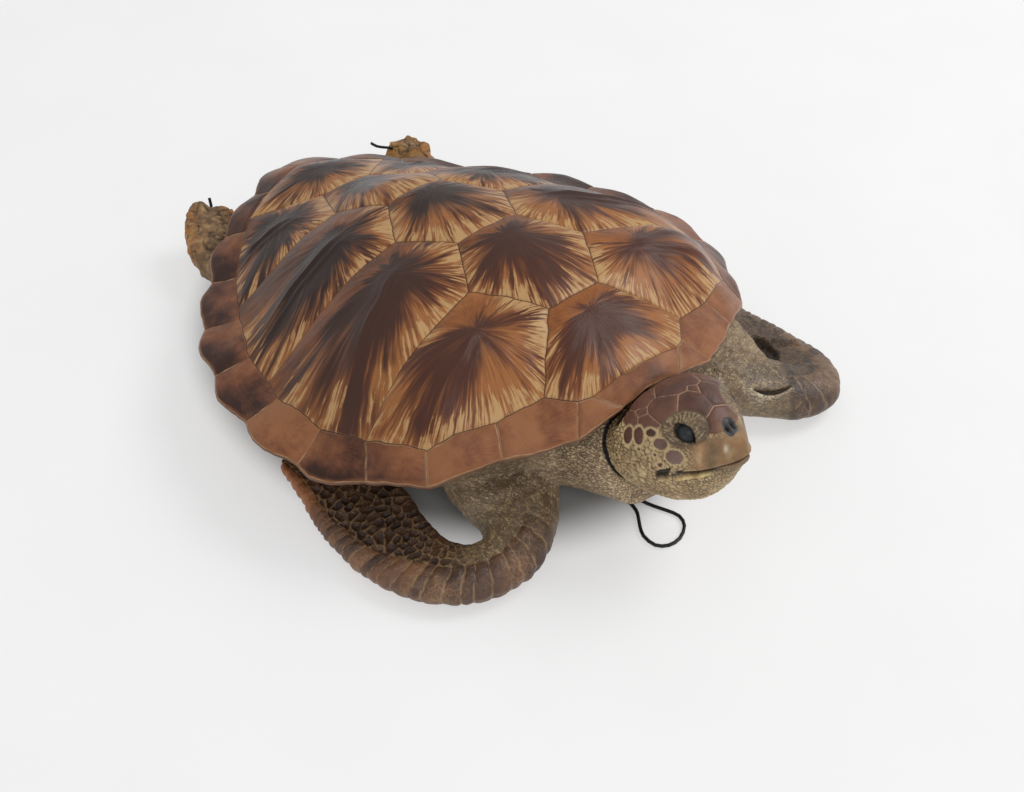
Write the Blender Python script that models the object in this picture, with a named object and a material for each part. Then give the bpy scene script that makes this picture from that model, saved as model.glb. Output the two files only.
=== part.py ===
"""Dried and mounted young green sea turtle, resting on its belly.

Millimetres in the code, metres in the meshes.  +Z is up, the head points along
-Y and +X is the animal's left.  The origin lies on the flat underside of the
lower shell, below the middle of the upper shell.
"""
import math

import bmesh
import bpy
import numpy as np
from mathutils import Vector

MM = 0.001
GAP = 0.3                    # clearance between neighbouring solids

# ---------------------------------------------------------------- upper shell
SHELL_LENGTH = 300.0         # straight, from neck notch to tail tip
RIM_THICKNESS = 3.6
RIM_UNDERCUT = 0.995         # lower edge of the rim as a share of the upper edge
UNDER_INSET = 14.0           # how far in from the rim the flat underside starts
UNDER_DROP = 6.5             # shell wall above that underside
NECK_ARCH_HALF = 33.0        # half width of the level stretch above the neck
SEAM_DEPTH = 0.9
SEAM_SHOULDER = 2.4          # half width of the groove along a seam
SEAM_STEP = 9.5              # spacing of the points along a seam

# Corners of the horny plates on the left half: x, y and height above the floor.
CORNERS = {
    "rim0": (17.5, -150, 72.5), "rim1": (41, -147.5, 66), "rim2": (71, -132.5, 62),
    "rim3": (99.5, -115.5, 50), "rim4": (115.5, -92, 46), "rim5": (130.5, -60, 42.4),
    "rim6": (132.5, -21, 41.4), "rim7": (124.5, 19, 39), "rim8": (109, 55, 36.5),
    "rim9": (85, 87, 35.5), "rim10": (60, 114, 38), "rim11": (29, 132, 42),
    "in0": (26, -140, 77), "in1": (32, -137, 75.5), "in2": (65, -121, 71),
    "in3": (93, -107, 61.5), "in4": (107, -82, 58), "in5": (115, -57.5, 52),
    "in6": (116, -22, 47.5), "in7": (108, 14, 45), "in8": (94, 45, 42),
    "in9": (76, 78, 39), "in10": (53, 104, 43.5), "in11": (25, 122, 48),
    "front": (42, -126, 76), "side23": (112, -9, 46.4), "side34": (89, 54, 41),
    "rear45": (45, 111, 45),
    "v12": (15, -98.5, 95), "c12": (35, -66, 95.5), "v23": (18, -37, 98.5),
    "c23": (33.5, -8.5, 90.5), "v34": (17, 20, 89.5), "c34": (28, 51, 73),
    "v45": (15, 82, 62),
}
NUCHAL_MIDDLE = (0, -SHELL_LENGTH / 2, 76)
TAIL_TIP = (0, SHELL_LENGTH / 2, 39)
TAIL_INNER = (0, 131, 50)
# Heights measured inside plates, where the dome is rounder than its corners say.
DOME_POINTS = [
    (60, -72, 90.5), (83, -76, 82), (100, -79, 67), (60, -6, 82), (84, -5, 66),
    (49, 51, 67), (66, 52, 56.5), (100, -40, 66), (80, -98, 80), (0, -118, 87),
    (0, -70, 101), (0, -20, 98.5), (0, 35, 88), (0, 100, 58),
]
BIG_PLATES = {               # corner names on the left half, in order round the plate
    "costal1": ["front", "in2", "in3", "in4", "c12", "v12"],
    "costal2": ["c12", "in4", "in5", "in6", "side23", "c23", "v23"],
    "costal3": ["c23", "side23", "in7", "in8", "side34", "c34", "v34"],
    "costal4": ["c34", "side34", "in9", "in10", "rear45", "v45"],
}
MIDLINE_PLATES = {           # left half only; the right half mirrors it
    "nuchal": ["rim0", "in0"],
    "vertebral1": ["in0", "in1", "front", "v12"],
    "vertebral2": ["v12", "c12", "v23"],
    "vertebral3": ["v23", "c23", "v34"],
    "vertebral4": ["v34", "c34", "v45"],
    "vertebral5": ["v45", "rear45", "in11", "tail_inner"],
}
EXTRA_INNER = {2: ["front"], 7: ["side23"], 9: ["side34"], 11: ["rear45"]}
RIM_LOBE_FRONT = 0.8         # outward swell of one marginal plate's free edge
RIM_LOBE_SIDE = 4.8
BULGE = {"costal": 2.6, "vertebral": 2.2, "marginal": 0.5, "nuchal": 0.4}

# ---------------------------------------------------------------- lower shell
PLASTRON_THICKNESS = 8.0
PLASTRON_OUTLINE = [         # left half, front to rear
    (0, -108), (26, -104), (46, -92), (60, -74), (79, -56), (84, -30), (85, 0),
    (83, 28), (74, 51), (54, 72), (38, 92), (19, 106), (0, 110),
]
PLASTRON_ROUNDING = 7.0
BRIDGE_SPAN = (-56, 50)      # y range of the walls that join the two shells
BRIDGE_WALL = 4.0
BRIDGE_CLEARANCE = 2.4       # between a wall's inner face and the body
BRIDGE_STATIONS = 9
BRIDGE_FADE = 14.0           # length over which the body closes up beside a wall

# ---------------------------------------------------------------- head
HEAD_PITCH = math.radians(18)
HEAD_ROOT = (0, -153, 48)    # middle of the joint with the neck
NECK_CUT_POINT = (0, -152.0, 72)
NECK_CUT_TILT = math.radians(9)
# forward, top, bottom, half width, height of the widest level, all from HEAD_ROOT
HEAD_SECTIONS = [
    (-10, 14, -13, 25, 2), (-4, 21, -14, 28, 4), (2, 26.5, -15, 30, 6), (8, 30.3, -16.3, 30.4, 7),
    (14, 33, -17.5, 29.4, 8), (20, 34.3, -18.3, 27.6, 9), (26, 34.8, -18.3, 25.6, 9.5),
    (32, 34.4, -17.4, 23.4, 10), (37, 33, -15.2, 21.4, 10), (41, 31, -12.4, 19.2, 10),
    (45, 28.6, -9, 16.8, 9.5), (48.5, 26, -5, 14.2, 9), (52, 23, -1, 11.8, 9),
    (55, 20.4, 2, 10, 9), (57.6, 17.4, 4.2, 7.4, 9.2), (59.6, 14.4, 6, 4.8, 9.4),
    (60.9, 11.8, 7.6, 2, 9.6),
]
HEAD_SIDES = 32
HEAD_SQUARENESS = 0.92       # below 1, the sections are fuller than ovals
EYE_RADIUS = 5.2
EYE_PLACE = (41.0, 20.5, 13.8)      # forward, up, sideways
EYE_LID_RADIUS = 8.5
EYE_LID_RISE = 1.8
MOUTH_START, MOUTH_END = (24.0, -2.0), (60.0, 6.5)   # forward, up
MOUTH_DEPTH = 1.5
NOSTRIL_PLACE = (54.5, 19.0, 2.6)
NOSTRIL_RADIUS = 2.6
NOSTRIL_DEPTH = 2.4

# ---------------------------------------------------------------- limbs
# centre x, y, z, half width, half thickness, roll in degrees (front edge down)
FRONT_RIGHT = [
    (-38, -82, 23, 30, 18, 0), (-45, -98, 20, 27, 16.5, 0), (-49.5, -112, 17.5, 23, 14.5, 0),
    (-54, -123.5, 15.5, 19.6, 13, 0), (-60, -132, 13.6, 17, 12, 0), (-68.5, -138, 12, 15.6, 11, 0),
    (-79, -140.5, 10.8, 15.2, 10, 1), (-90, -137.5, 10, 16.5, 9, 3), (-99, -130.5, 9.6, 18, 8, 5),
    (-105, -120.5, 9.4, 19.4, 7.2, 6), (-108, -108.5, 9.6, 21, 6.6, 7),
    (-109, -95, 10, 22, 6.2, 7), (-108.4, -82, 10.6, 22.6, 5.8, 6),
    (-109, -69, 11.6, 21.6, 5.4, 4), (-111, -56, 12.8, 18.4, 4.8, 1),
    (-114.5, -45, 14, 13, 4.2, -2), (-118, -35.5, 15, 7.6, 3.2, -4), (-120.5, -28.5, 15.6, 2.2, 1.6, -4),
]
FRONT_LEFT = [
    (42, -82, 24, 31, 18, 0), (55, -99, 22.5, 27, 16, 0), (68, -115, 19.6, 23, 14, 0),
    (80, -128, 17, 20, 13, 0), (91.5, -139.5, 14.5, 17.5, 12, 0), (103, -149, 12.5, 16.5, 11, 0),
    (114, -152, 11, 16, 10, 1), (122.6, -147, 10.2, 16.2, 9, 3), (126, -137, 9.8, 16, 8, 5),
    (125.4, -125.5, 9.6, 16, 7.2, 7), (123.6, -113.5, 9.8, 16.4, 6.6, 8),
    (120.8, -101.5, 10.2, 16.4, 6.2, 8), (118.4, -88.5, 10.8, 16.6, 5.8, 7),
    (116.8, -75.5, 11.8, 15.8, 5.4, 5), (116.4, -62.5, 13, 13.4, 4.8, 2),
    (116.6, -51, 14.2, 9.6, 4.2, -2), (117, -42, 15.2, 5.4, 3.2, -4), (117.4, -36, 15.8, 1.8, 1.6, -4),
]
FRONT_JOINT = 3              # section where a front flipper leaves the body
HIND_RIGHT = [
    (-38, 84, 20, 16, 10, 0), (-47, 98, 19, 18, 9.5, 0), (-53.5, 109, 18, 20.5, 9.4, -2),
    (-56.5, 120, 18.4, 21, 8.8, -5), (-56, 131, 19.6, 19.8, 8, -8), (-53, 140.5, 21.4, 18.2, 7.2, -9),
    (-49.6, 148, 23.6, 16, 6.4, -8), (-46.6, 154, 25.6, 12.4, 5.4, -6), (-44.8, 158, 27, 6.5, 3.4, -4),
]
HIND_LEFT = [
    (40, 84, 21, 16, 10, 0), (49.5, 96, 20, 16.5, 9.5, 0), (58.5, 107, 19.5, 17.5, 9, -4),
    (65.5, 116, 20, 17.6, 8.4, -8), (71, 124, 21.5, 16.6, 7.6, -10), (75.6, 131, 23.5, 14.2, 6.8, -10),
    (79.4, 137, 25.4, 10.6, 5.6, -8), (82, 141, 26.8, 6.6, 4.2, -6), (83.4, 143.6, 27.6, 2.6, 2.2, -4),
]
HIND_JOINT = 2
LIMB_SIDES = 16
BLADE_DISH = 2.2             # how deep the upper face of a front blade is hollowed
EDGE_SWELL = 0.35            # how much thicker the front edge is than the rear edge
LIMB_SQUARENESS = 0.85
STUMP_CLEARANCE = 16.0       # how far beyond the lower shell's edge skin stays above it
NECK = [                     # y, half width, bottom, top
    (-92, 58, 9, 48), (-108, 55, 9, 53), (-122, 44, 8.4, 60), (-136, 34, 9, 65),
    (-146, 30.5, 10.5, 66.5), (-153, 28, 12, 66), (-162, 25, 14, 63),
]
TAIL = [                     # y, half width, bottom, top
    (96, 16, 12, 34), (118, 12, 13, 33), (134, 8, 15, 30), (144, 4.5, 18, 28), (148, 2, 21, 26),
]
BODY_SPINE = (-60, 80)       # y range of the line that the body's sections close on
BODY_FRONT = (-70, -120)     # y range over which the sides turn into the front
# inset from the rim and height as a share of the underside's, sides then front
BODY_LEVELS = [(22, 0.62, 20, 0.62), (36, 0.34, 27, 0.3), (50, 0.0, 36, 0.0)]

# ---------------------------------------------------------------- wires
WIRE_RADIUS = 0.9
WIRE_SIDES = 6
LOOP_ROUTE = [               # a bent eye of wire that lies on the floor
    (-6, -139, 7.6), (-5, -144, 2.8), (-5, -149.5, 1.1), (-6.6, -154, 1.1), (-11, -160, 1.1),
    (-14.4, -166, 1.1), (-14.3, -173.6, 1.1), (-9.6, -177.8, 1.1), (-2.5, -178, 1.1),
    (4.5, -174, 1.1), (7.2, -168, 1.1), (5.4, -161.8, 1.1), (2.6, -155.5, 1.1),
    (0.6, -149, 1.1), (-1, -144, 2.8), (-1.6, -139, 7.6),
]
RIGHT_END_ROUTE = [(-45.4, 152.6, 31.2), (-45.2, 153.4, 33.4), (-45, 154.2, 36)]
LEFT_END_ROUTE = [(71.5, 138.6, 28.4), (68.4, 142, 28.4), (65.2, 146, 28.6), (63.4, 149.4, 30)]


# ================================================================ small tools
def clear_scene():
    for thing in list(bpy.data.objects):
        bpy.data.objects.remove(thing, do_unlink=True)


def material(name, colour, roughness, metallic=0.0):
    made = bpy.data.materials.new(name)
    made.use_nodes = True
    shader = made.node_tree.nodes["Principled BSDF"]
    shader.inputs["Base Color"].default_value = (*colour, 1.0)
    shader.inputs["Roughness"].default_value = roughness
    shader.inputs["Metallic"].default_value = metallic
    return made


def finish_mesh(name, bm, surface, merge=0.00002):
    """Turn a closed bmesh in millimetres into an object in metres."""
    bmesh.ops.scale(bm, vec=(MM, MM, MM), verts=bm.verts)
    bmesh.ops.remove_doubles(bm, verts=bm.verts, dist=merge)
    bmesh.ops.recalc_face_normals(bm, faces=bm.faces)
    mesh = bpy.data.meshes.new(name)
    bm.to_mesh(mesh)
    bm.free()
    mesh.materials.append(surface)
    mesh.shade_smooth()
    mesh.set_sharp_from_angle(angle=math.radians(40))
    made = bpy.data.objects.new(name, mesh)
    bpy.context.collection.objects.link(made)
    return made


def boolean(target, tool, operation):
    """Join or cut the target with a helper object, which stays out of the model."""
    modifier = target.modifiers.new(operation.lower() + "_" + tool.name, "BOOLEAN")
    modifier.operation = operation
    modifier.solver = "EXACT"
    modifier.object = tool
    tool.hide_render = True
    tool.display_type = "WIRE"


def start_ring(bm, points):
    verts = [bm.verts.new(p) for p in points]
    for first, second in zip(verts, verts[1:] + verts[:1]):
        bm.edges.new((first, second))
    return verts


def next_ring(bm, verts, points):
    """Extrude a closed ring of vertices and move the new ring to the points."""
    ring = set(verts)
    near = {e for v in verts for e in v.link_edges}
    edges = [e for e in near if set(e.verts) <= ring and len(e.link_faces) < 2]
    made = bmesh.ops.extrude_edge_only(bm, edges=edges)["geom"]
    fresh = {g for g in made if isinstance(g, bmesh.types.BMVert)}
    grown = [next(e.other_vert(v) for e in v.link_edges if e.other_vert(v) in fresh) for v in verts]
    for vert, point in zip(grown, points):
        vert.co = point
    return grown


def loft(bm, rings):
    """Skin a closed tube over rings of points and cap both ends."""
    first = start_ring(bm, rings[0])
    last = first
    for points in rings[1:]:
        last = next_ring(bm, last, points)
    bm.faces.new(first)
    bm.faces.new(last)


def mirrored(point):
    return (-point[0], *point[1:])


# ================================================================ upper shell
def smooth_sheet(points, stiffness=40.0):
    """Height over x, y of the smoothest sheet through the points, a thin plate."""
    place = np.array([p[:2] for p in points], float)
    height = np.array([p[2] for p in points], float)
    count = len(points)

    def bend(distance):
        safe = np.maximum(distance, 1e-6)
        return safe * safe * np.log(safe)

    system = np.zeros((count + 3, count + 3))
    system[:count, :count] = bend(np.linalg.norm(place[:, None] - place[None], axis=2))
    system[:count, :count] += stiffness * np.eye(count)
    system[:count, count] = 1
    system[:count, count + 1:] = place
    system[count:, :count] = system[:count, count:].T
    weights = np.linalg.solve(system, np.concatenate([height, np.zeros(3)]))

    def sheet(x, y):
        reach = bend(np.hypot(place[:, 0] - x, place[:, 1] - y))
        slope = weights[count] + weights[count + 1] * x + weights[count + 2] * y
        return float(reach @ weights[:count] + slope)

    return sheet


def shell_points():
    """Every known point of the upper shell, on both halves."""
    left = list(CORNERS.values()) + [p for p in DOME_POINTS if p[0] > 0]
    middle = [p for p in DOME_POINTS if p[0] == 0] + [NUCHAL_MIDDLE, TAIL_TIP, TAIL_INNER]
    return left + [mirrored(p) for p in left] + middle


dome = smooth_sheet(shell_points())


def seam(start, end, lobe=0.0):
    """Points from start up to but not including end, the free edge swelling by lobe."""
    first, last = sorted((start, end), key=lambda p: (p[1], p[0]))
    across = Vector((last[0] - first[0], last[1] - first[1]))
    steps = max(1, round(across.length / SEAM_STEP))
    if lobe:
        steps = max(4, steps)
    outward = Vector((across.y, -across.x)).normalized()
    if outward.x * (first[0] + last[0]) < 0:
        outward.negate()
    points = []
    for i in range(steps + 1):
        share = i / steps
        swell = lobe * math.sin(math.pi * share ** 1.35)
        points.append((first[0] + across.x * share + outward.x * swell,
                       first[1] + across.y * share + outward.y * swell))
    if first != start:
        points.reverse()
    return points[:-1]


def corner(name):
    return TAIL_INNER[:2] if name == "tail_inner" else CORNERS[name][:2]


def outline(corners, free_edge=None, lobe=0.0):
    points = []
    for i, start in enumerate(corners):
        end = corners[(i + 1) % len(corners)]
        is_free = free_edge is not None and {start, end} == free_edge
        points += seam(start, end, lobe if is_free else 0.0)
    return points


def growth_centre(kind, corners):
    """Where a plate started to grow: rear middle, or its rear upper corner."""
    xs = [c[0] for c in corners]
    ys = [c[1] for c in corners]
    middle = Vector((sum(xs) / len(xs), sum(ys) / len(ys)))
    if kind == "costal":
        side = math.copysign(1, middle.x)
        return Vector((middle.x - side * 17, middle.y + 9))
    if kind == "vertebral":
        return Vector((0, middle.y + 10))
    return middle


def add_plate(bm, kind, corners, free_edge=None, lobe=0.0):
    """One horny plate: a groove along its seams and rings rising to its centre."""
    ground = outline(corners, free_edge, lobe)
    centre = growth_centre(kind, corners)
    height = BULGE[kind]
    shares = (0.66, 0.33) if kind in ("costal", "vertebral") else (0.5,)

    def at_share(point, share, drop=0.0):
        x = centre.x + (point[0] - centre.x) * share
        y = centre.y + (point[1] - centre.y) * share
        return (x, y, dome(x, y) + height * (1 - share ** 2.4) - drop)

    verts = start_ring(bm, [at_share(p, 1.0, SEAM_DEPTH) for p in ground])
    shoulder = []
    for point in ground:
        reach = math.hypot(point[0] - centre.x, point[1] - centre.y)
        shoulder.append(at_share(point, 1 - min(0.3, SEAM_SHOULDER / reach)))
    verts = next_ring(bm, verts, shoulder)
    for share in shares:
        verts = next_ring(bm, verts, [at_share(p, share) for p in ground])
    verts = next_ring(bm, verts, [at_share(p, 0.0) for p in ground])
    bmesh.ops.pointmerge(bm, verts=verts, merge_co=at_share(ground[0], 0.0))


def marginal_corners(index, side):
    """Corners of marginal plate 1 to 12 and its free edge, on side +1 or -1."""
    tail = (TAIL_TIP[:2], TAIL_INNER[:2])
    outer = [corner("rim%d" % i) if i < 12 else tail[0] for i in (index - 1, index)]
    inner = [corner("in%d" % i) if i < 12 else tail[1] for i in (index - 1, index)]
    between = [corner(n) for n in EXTRA_INNER.get(index, [])]
    corners = [outer[0], outer[1], inner[1]] + between + [inner[0]]
    corners = [(side * x, y) for x, y in corners]
    return corners, {corners[0], corners[1]}


def rim_lobe(index):
    return RIM_LOBE_FRONT if index <= 4 else RIM_LOBE_SIDE


def towards_spine(point, distance):
    """Move a plan point in from the rim, towards the body's middle line."""
    target = Vector((0, min(max(point[1], BODY_SPINE[0]), BODY_SPINE[1])))
    start = Vector(point[:2])
    way = target - start
    return start + way.normalized() * min(distance, way.length * 0.9)


def rim_points(lobed=True):
    """Plan points of the rim on the left half, from the nuchal middle to the tail."""
    points = seam(NUCHAL_MIDDLE[:2], corner("rim0"))
    for index in range(1, 13):
        corners, _ = marginal_corners(index, 1)
        points += seam(corners[0], corners[1], rim_lobe(index) if lobed else 0.01)
    return points + [TAIL_TIP[:2]]


def bridge_share(y):
    """1 beside a bridge wall, falling to 0 before and behind it."""
    outside = max(BRIDGE_SPAN[0] - y, y - BRIDGE_SPAN[1], 0.0) - 3
    fade = min(1.0, max(0.0, 1 - outside / BRIDGE_FADE))
    return fade * fade * (3 - 2 * fade)


def under_height(point):
    """Height of the shell's underside at the ring where it turns flat."""
    inner = towards_spine(point, UNDER_INSET)
    outer_x = max(abs(inner.x), NECK_ARCH_HALF) if point[1] < 0 else inner.x
    return dome(outer_x, inner.y) - UNDER_DROP


def under_half(inset, drop, wall=0.0):
    """Left half of the ring where the underside turns flat, in order along y."""
    half = []
    for point in rim_points(lobed=False):
        place = towards_spine(point, inset + wall * bridge_share(point[1]))
        y = max(place.y, half[-1][1] + 0.4) if half else place.y
        half.append((place.x, y, under_height(point) - drop))
    return half


def strip_across(bm, ring):
    """Close a ring that is symmetrical about x = 0 with strips from side to side."""
    left = sorted([v for v in ring if v.co.x > 1e-4], key=lambda v: ring.index(v))
    right = {round(v.co.y, 4): v for v in ring if v.co.x < -1e-4}
    front = min((v for v in ring if abs(v.co.x) <= 1e-4), key=lambda v: v.co.y)
    rear = max((v for v in ring if abs(v.co.x) <= 1e-4), key=lambda v: v.co.y)
    partner = [right[round(v.co.y, 4)] for v in left]
    bm.faces.new((front, left[0], partner[0]))
    for i in range(len(left) - 1):
        bm.faces.new((left[i], left[i + 1], partner[i + 1], partner[i]))
    bm.faces.new((left[-1], rear, partner[-1]))


def full_ring(half):
    """Left half from front middle to rear middle, carried round the right half."""
    return half + [mirrored(p) for p in reversed(half[1:-1])]


def build_carapace(surface):
    bm = bmesh.new()
    for name, names in MIDLINE_PLATES.items():
        left = [corner(n) for n in names]
        right = [mirrored(c) for c in reversed(left) if c[0] != 0]
        kind = name.rstrip("12345")
        add_plate(bm, kind, left + right)
    for side in (1, -1):
        for name, names in BIG_PLATES.items():
            add_plate(bm, "costal", [(side * corner(n)[0], corner(n)[1]) for n in names])
        for index in range(1, 13):
            corners, free = marginal_corners(index, side)
            add_plate(bm, "marginal", corners, free, rim_lobe(index))
    bmesh.ops.remove_doubles(bm, verts=bm.verts, dist=0.05)
    edge_verts = {v for e in bm.edges if e.is_boundary for v in e.verts}
    ring = []
    for x, y in full_ring(rim_points()):
        ring.append(min(edge_verts, key=lambda v: (v.co.x - x) ** 2 + (v.co.y - y) ** 2))
    lower = [(v.co.x * RIM_UNDERCUT, v.co.y * RIM_UNDERCUT, v.co.z - RIM_THICKNESS) for v in ring]
    ring = next_ring(bm, ring, lower)
    ring = next_ring(bm, ring, full_ring(under_half(UNDER_INSET, 0.0)))
    strip_across(bm, ring)
    return finish_mesh("carapace", bm, surface, merge=0.0)


# ================================================================ lower shell and body
def rim_half_width(y):
    """Half width of the shell at y, along straight lines between the rim's corners."""
    places = sorted((CORNERS["rim%d" % i][1], CORNERS["rim%d" % i][0]) for i in range(12))
    return float(np.interp(y, [p[0] for p in places], [p[1] for p in places]))


def wall_height(point, share):
    """Height in the wall between the shells, share 0 at the plastron, 1 at the carapace."""
    floor = PLASTRON_THICKNESS + GAP
    return floor + (under_height(point) - 3 * GAP - floor) * share


def build_bridge(name, side, surface):
    """Curved wall of the lower shell, up to the underside of the carapace."""
    rings = []
    for i in range(BRIDGE_STATIONS):
        y = BRIDGE_SPAN[0] + (BRIDGE_SPAN[1] - BRIDGE_SPAN[0]) * i / (BRIDGE_STATIONS - 1)
        rim = (rim_half_width(y), y)
        outer = [(UNDER_INSET, 1.0)] + [(inset, share) for inset, share, _, _ in BODY_LEVELS]
        ring = [(rim[0] - inset, wall_height(rim, share)) for inset, share in outer]
        inward = [(x - BRIDGE_WALL, z) for x, z in ring]
        ring[-1] = (ring[-1][0], PLASTRON_THICKNESS * 0.4)
        inward[-1] = (inward[-1][0] - 2, PLASTRON_THICKNESS * 0.8)
        rings.append([(side * x, y, z) for x, z in ring + inward[::-1]])
    bm = bmesh.new()
    loft(bm, rings)
    return finish_mesh(name, bm, surface)


def build_plastron(surface):
    bm = bmesh.new()
    half = [(float(x), float(y)) for x, y in PLASTRON_OUTLINE]
    middle = (0.0, 0.5 * (half[0][1] + half[-1][1]))
    levels = (
        (PLASTRON_ROUNDING, 0.0), (PLASTRON_ROUNDING * 0.3, PLASTRON_THICKNESS * 0.25),
        (0.0, PLASTRON_THICKNESS * 0.6), (PLASTRON_ROUNDING * 0.2, PLASTRON_THICKNESS),
    )
    rings = []
    for inset, height in levels:
        ring = []
        for x, y in full_ring(half):
            way = Vector((middle[0] - x, middle[1] - y)).normalized()
            ring.append((x + way.x * inset, y + way.y * inset, height))
        rings.append(ring)
    loft(bm, rings)
    plastron = finish_mesh("plastron", bm, surface)
    for name, side in (("bridge_right", -1), ("bridge_left", 1)):
        boolean(plastron, build_bridge(name, side, surface), "UNION")
    return plastron


def oval_ring(y, half_width, bottom, top, sides=20, squareness=2.4):
    """Upright oval section in a plane across the body."""
    ring = []
    for i in range(sides):
        turn = 2 * math.pi * (i + 0.5) / sides
        c, s = math.cos(turn), math.sin(turn)
        x = half_width * math.copysign(abs(c) ** (2 / squareness), c)
        z = 0.5 * (top + bottom) + 0.5 * (top - bottom) * math.copysign(abs(s) ** (2 / squareness), s)
        ring.append((x, y, z))
    return ring


def build_core(surface):
    """The trunk between the two shells, without neck, limbs and tail."""
    bm = bmesh.new()
    ring_plan = full_ring(rim_points(lobed=False))
    wall = BRIDGE_WALL + BRIDGE_CLEARANCE

    def level(side_inset, side_share, front_inset, front_share):
        ring = []
        for point in ring_plan:
            frontness = float(np.interp(point[1], BODY_FRONT[::-1], (1.0, 0.0)))
            inset = side_inset + (front_inset - side_inset) * frontness
            inset += wall * bridge_share(point[1])
            share = side_share + (front_share - side_share) * frontness
            place = towards_spine(point, inset)
            ring.append((place.x, place.y, wall_height(point, share)))
        return ring

    start = start_ring(bm, full_ring(under_half(UNDER_INSET + 3 * GAP, 5 * GAP, wall)))
    strip_across(bm, start)
    ring = start
    for values in BODY_LEVELS:
        ring = next_ring(bm, ring, level(*values))
    bm.faces.new(ring)
    return finish_mesh("body", bm, surface)


def floor_height(point):
    """Lowest place for skin: just above the floor, or above the lower shell."""
    ys = [y for _, y in PLASTRON_OUTLINE]
    reach = float(np.interp(point.y, ys, [x for x, _ in PLASTRON_OUTLINE]))
    ahead, behind = ys[0] - STUMP_CLEARANCE, ys[-1] + STUMP_CLEARANCE
    over = abs(point.x) < reach + STUMP_CLEARANCE and ahead < point.y < behind
    return PLASTRON_THICKNESS + 5 * GAP if over else 0.4


def limb_rings(sections):
    """Rings of a limb: flat ovals square to its line, hollowed and thick in front."""
    centres = [Vector(s[:3]) for s in sections]
    side = math.copysign(1, centres[0].x)
    is_front = centres[-1].y < 0
    rings = []
    for i, (x, y, z, half_width, half_thickness, roll) in enumerate(sections):
        ahead = centres[min(i + 1, len(centres) - 1)] - centres[max(i - 1, 0)]
        ahead = Vector((ahead.x, ahead.y, 0)).normalized()
        leading = Vector((ahead.y, -ahead.x, 0)) * side
        tilt = math.radians(roll)
        wide = leading * math.cos(tilt) - Vector((0, 0, math.sin(tilt)))
        thick = Vector((0, 0, math.cos(tilt))) + leading * math.sin(tilt)
        blade = min(1.0, max(0.0, (i - 6) / 4)) if is_front else min(1.0, i / 4)
        ring = []
        for k in range(LIMB_SIDES):
            turn = 2 * math.pi * k / LIMB_SIDES
            u = math.copysign(abs(math.cos(turn)) ** LIMB_SQUARENESS, math.cos(turn))
            w = math.sin(turn) * half_thickness * (1 + EDGE_SWELL * u * blade)
            hollow = BLADE_DISH * blade * (1 - u * u) * (1.0 if w > 0 else 0.4)
            point = centres[i] + wide * (u * half_width) + thick * (w - hollow)
            point.z = max(point.z, floor_height(point))
            ring.append(point)
        rings.append(ring)
    return rings


def stump(name, sections, joint, surface):
    """The part of a limb that belongs to the body."""
    bm = bmesh.new()
    loft(bm, limb_rings(sections)[:joint + 1])
    return finish_mesh(name, bm, surface)


def build_limb(name, sections, joint, surface):
    """The free part of a limb, a gap away from its stump."""
    bm = bmesh.new()
    rings = limb_rings(sections)[joint:]
    step = (Vector(sections[joint + 1][:3]) - Vector(sections[joint][:3])).normalized() * 2 * GAP
    rings[0] = [p + step for p in rings[0]]
    loft(bm, rings)
    return finish_mesh(name, bm, surface)


def neck_cutter(name, keep_front, surface):
    """A slab with one face on the tilted plane between neck and head."""
    size, depth = 120.0, 90.0
    toward = 1 if keep_front else -1
    normal = Vector((0, -math.cos(NECK_CUT_TILT), math.sin(NECK_CUT_TILT)))
    upward = Vector((0, math.sin(NECK_CUT_TILT), math.cos(NECK_CUT_TILT)))
    base = Vector(NECK_CUT_POINT) + normal * (toward * GAP)
    rings = []
    for reach in (0.0, -toward * depth):
        centre = base + normal * reach
        ring = []
        for sx, sz in ((-1, -1), (1, -1), (1, 1), (-1, 1)):
            ring.append(centre + Vector((sx * size, 0, 0)) + upward * (sz * size))
        rings.append(ring)
    bm = bmesh.new()
    loft(bm, rings)
    return finish_mesh(name, bm, surface)


def build_body(surface):
    body = build_core(surface)
    bm = bmesh.new()
    loft(bm, [oval_ring(*section) for section in NECK])
    neck = finish_mesh("neck_form", bm, surface)
    bm = bmesh.new()
    loft(bm, [oval_ring(*section, sides=12, squareness=2.0) for section in TAIL])
    tail = finish_mesh("tail_form", bm, surface)
    boolean(body, neck, "UNION")
    boolean(body, tail, "UNION")
    roots = (
        ("shoulder_right", FRONT_RIGHT, FRONT_JOINT), ("shoulder_left", FRONT_LEFT, FRONT_JOINT),
        ("hip_right", HIND_RIGHT, HIND_JOINT), ("hip_left", HIND_LEFT, HIND_JOINT),
    )
    for name, sections, joint in roots:
        boolean(body, stump(name, sections, joint, surface), "UNION")
    boolean(body, neck_cutter("neck_front_cut", False, surface), "DIFFERENCE")
    return body


# ================================================================ head
def head_point(forward, up, side):
    """From the head's own directions to the frame of the part."""
    return Vector((side,
                   HEAD_ROOT[1] - forward * math.cos(HEAD_PITCH) + up * math.sin(HEAD_PITCH),
                   HEAD_ROOT[2] + forward * math.sin(HEAD_PITCH) + up * math.cos(HEAD_PITCH)))


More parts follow.
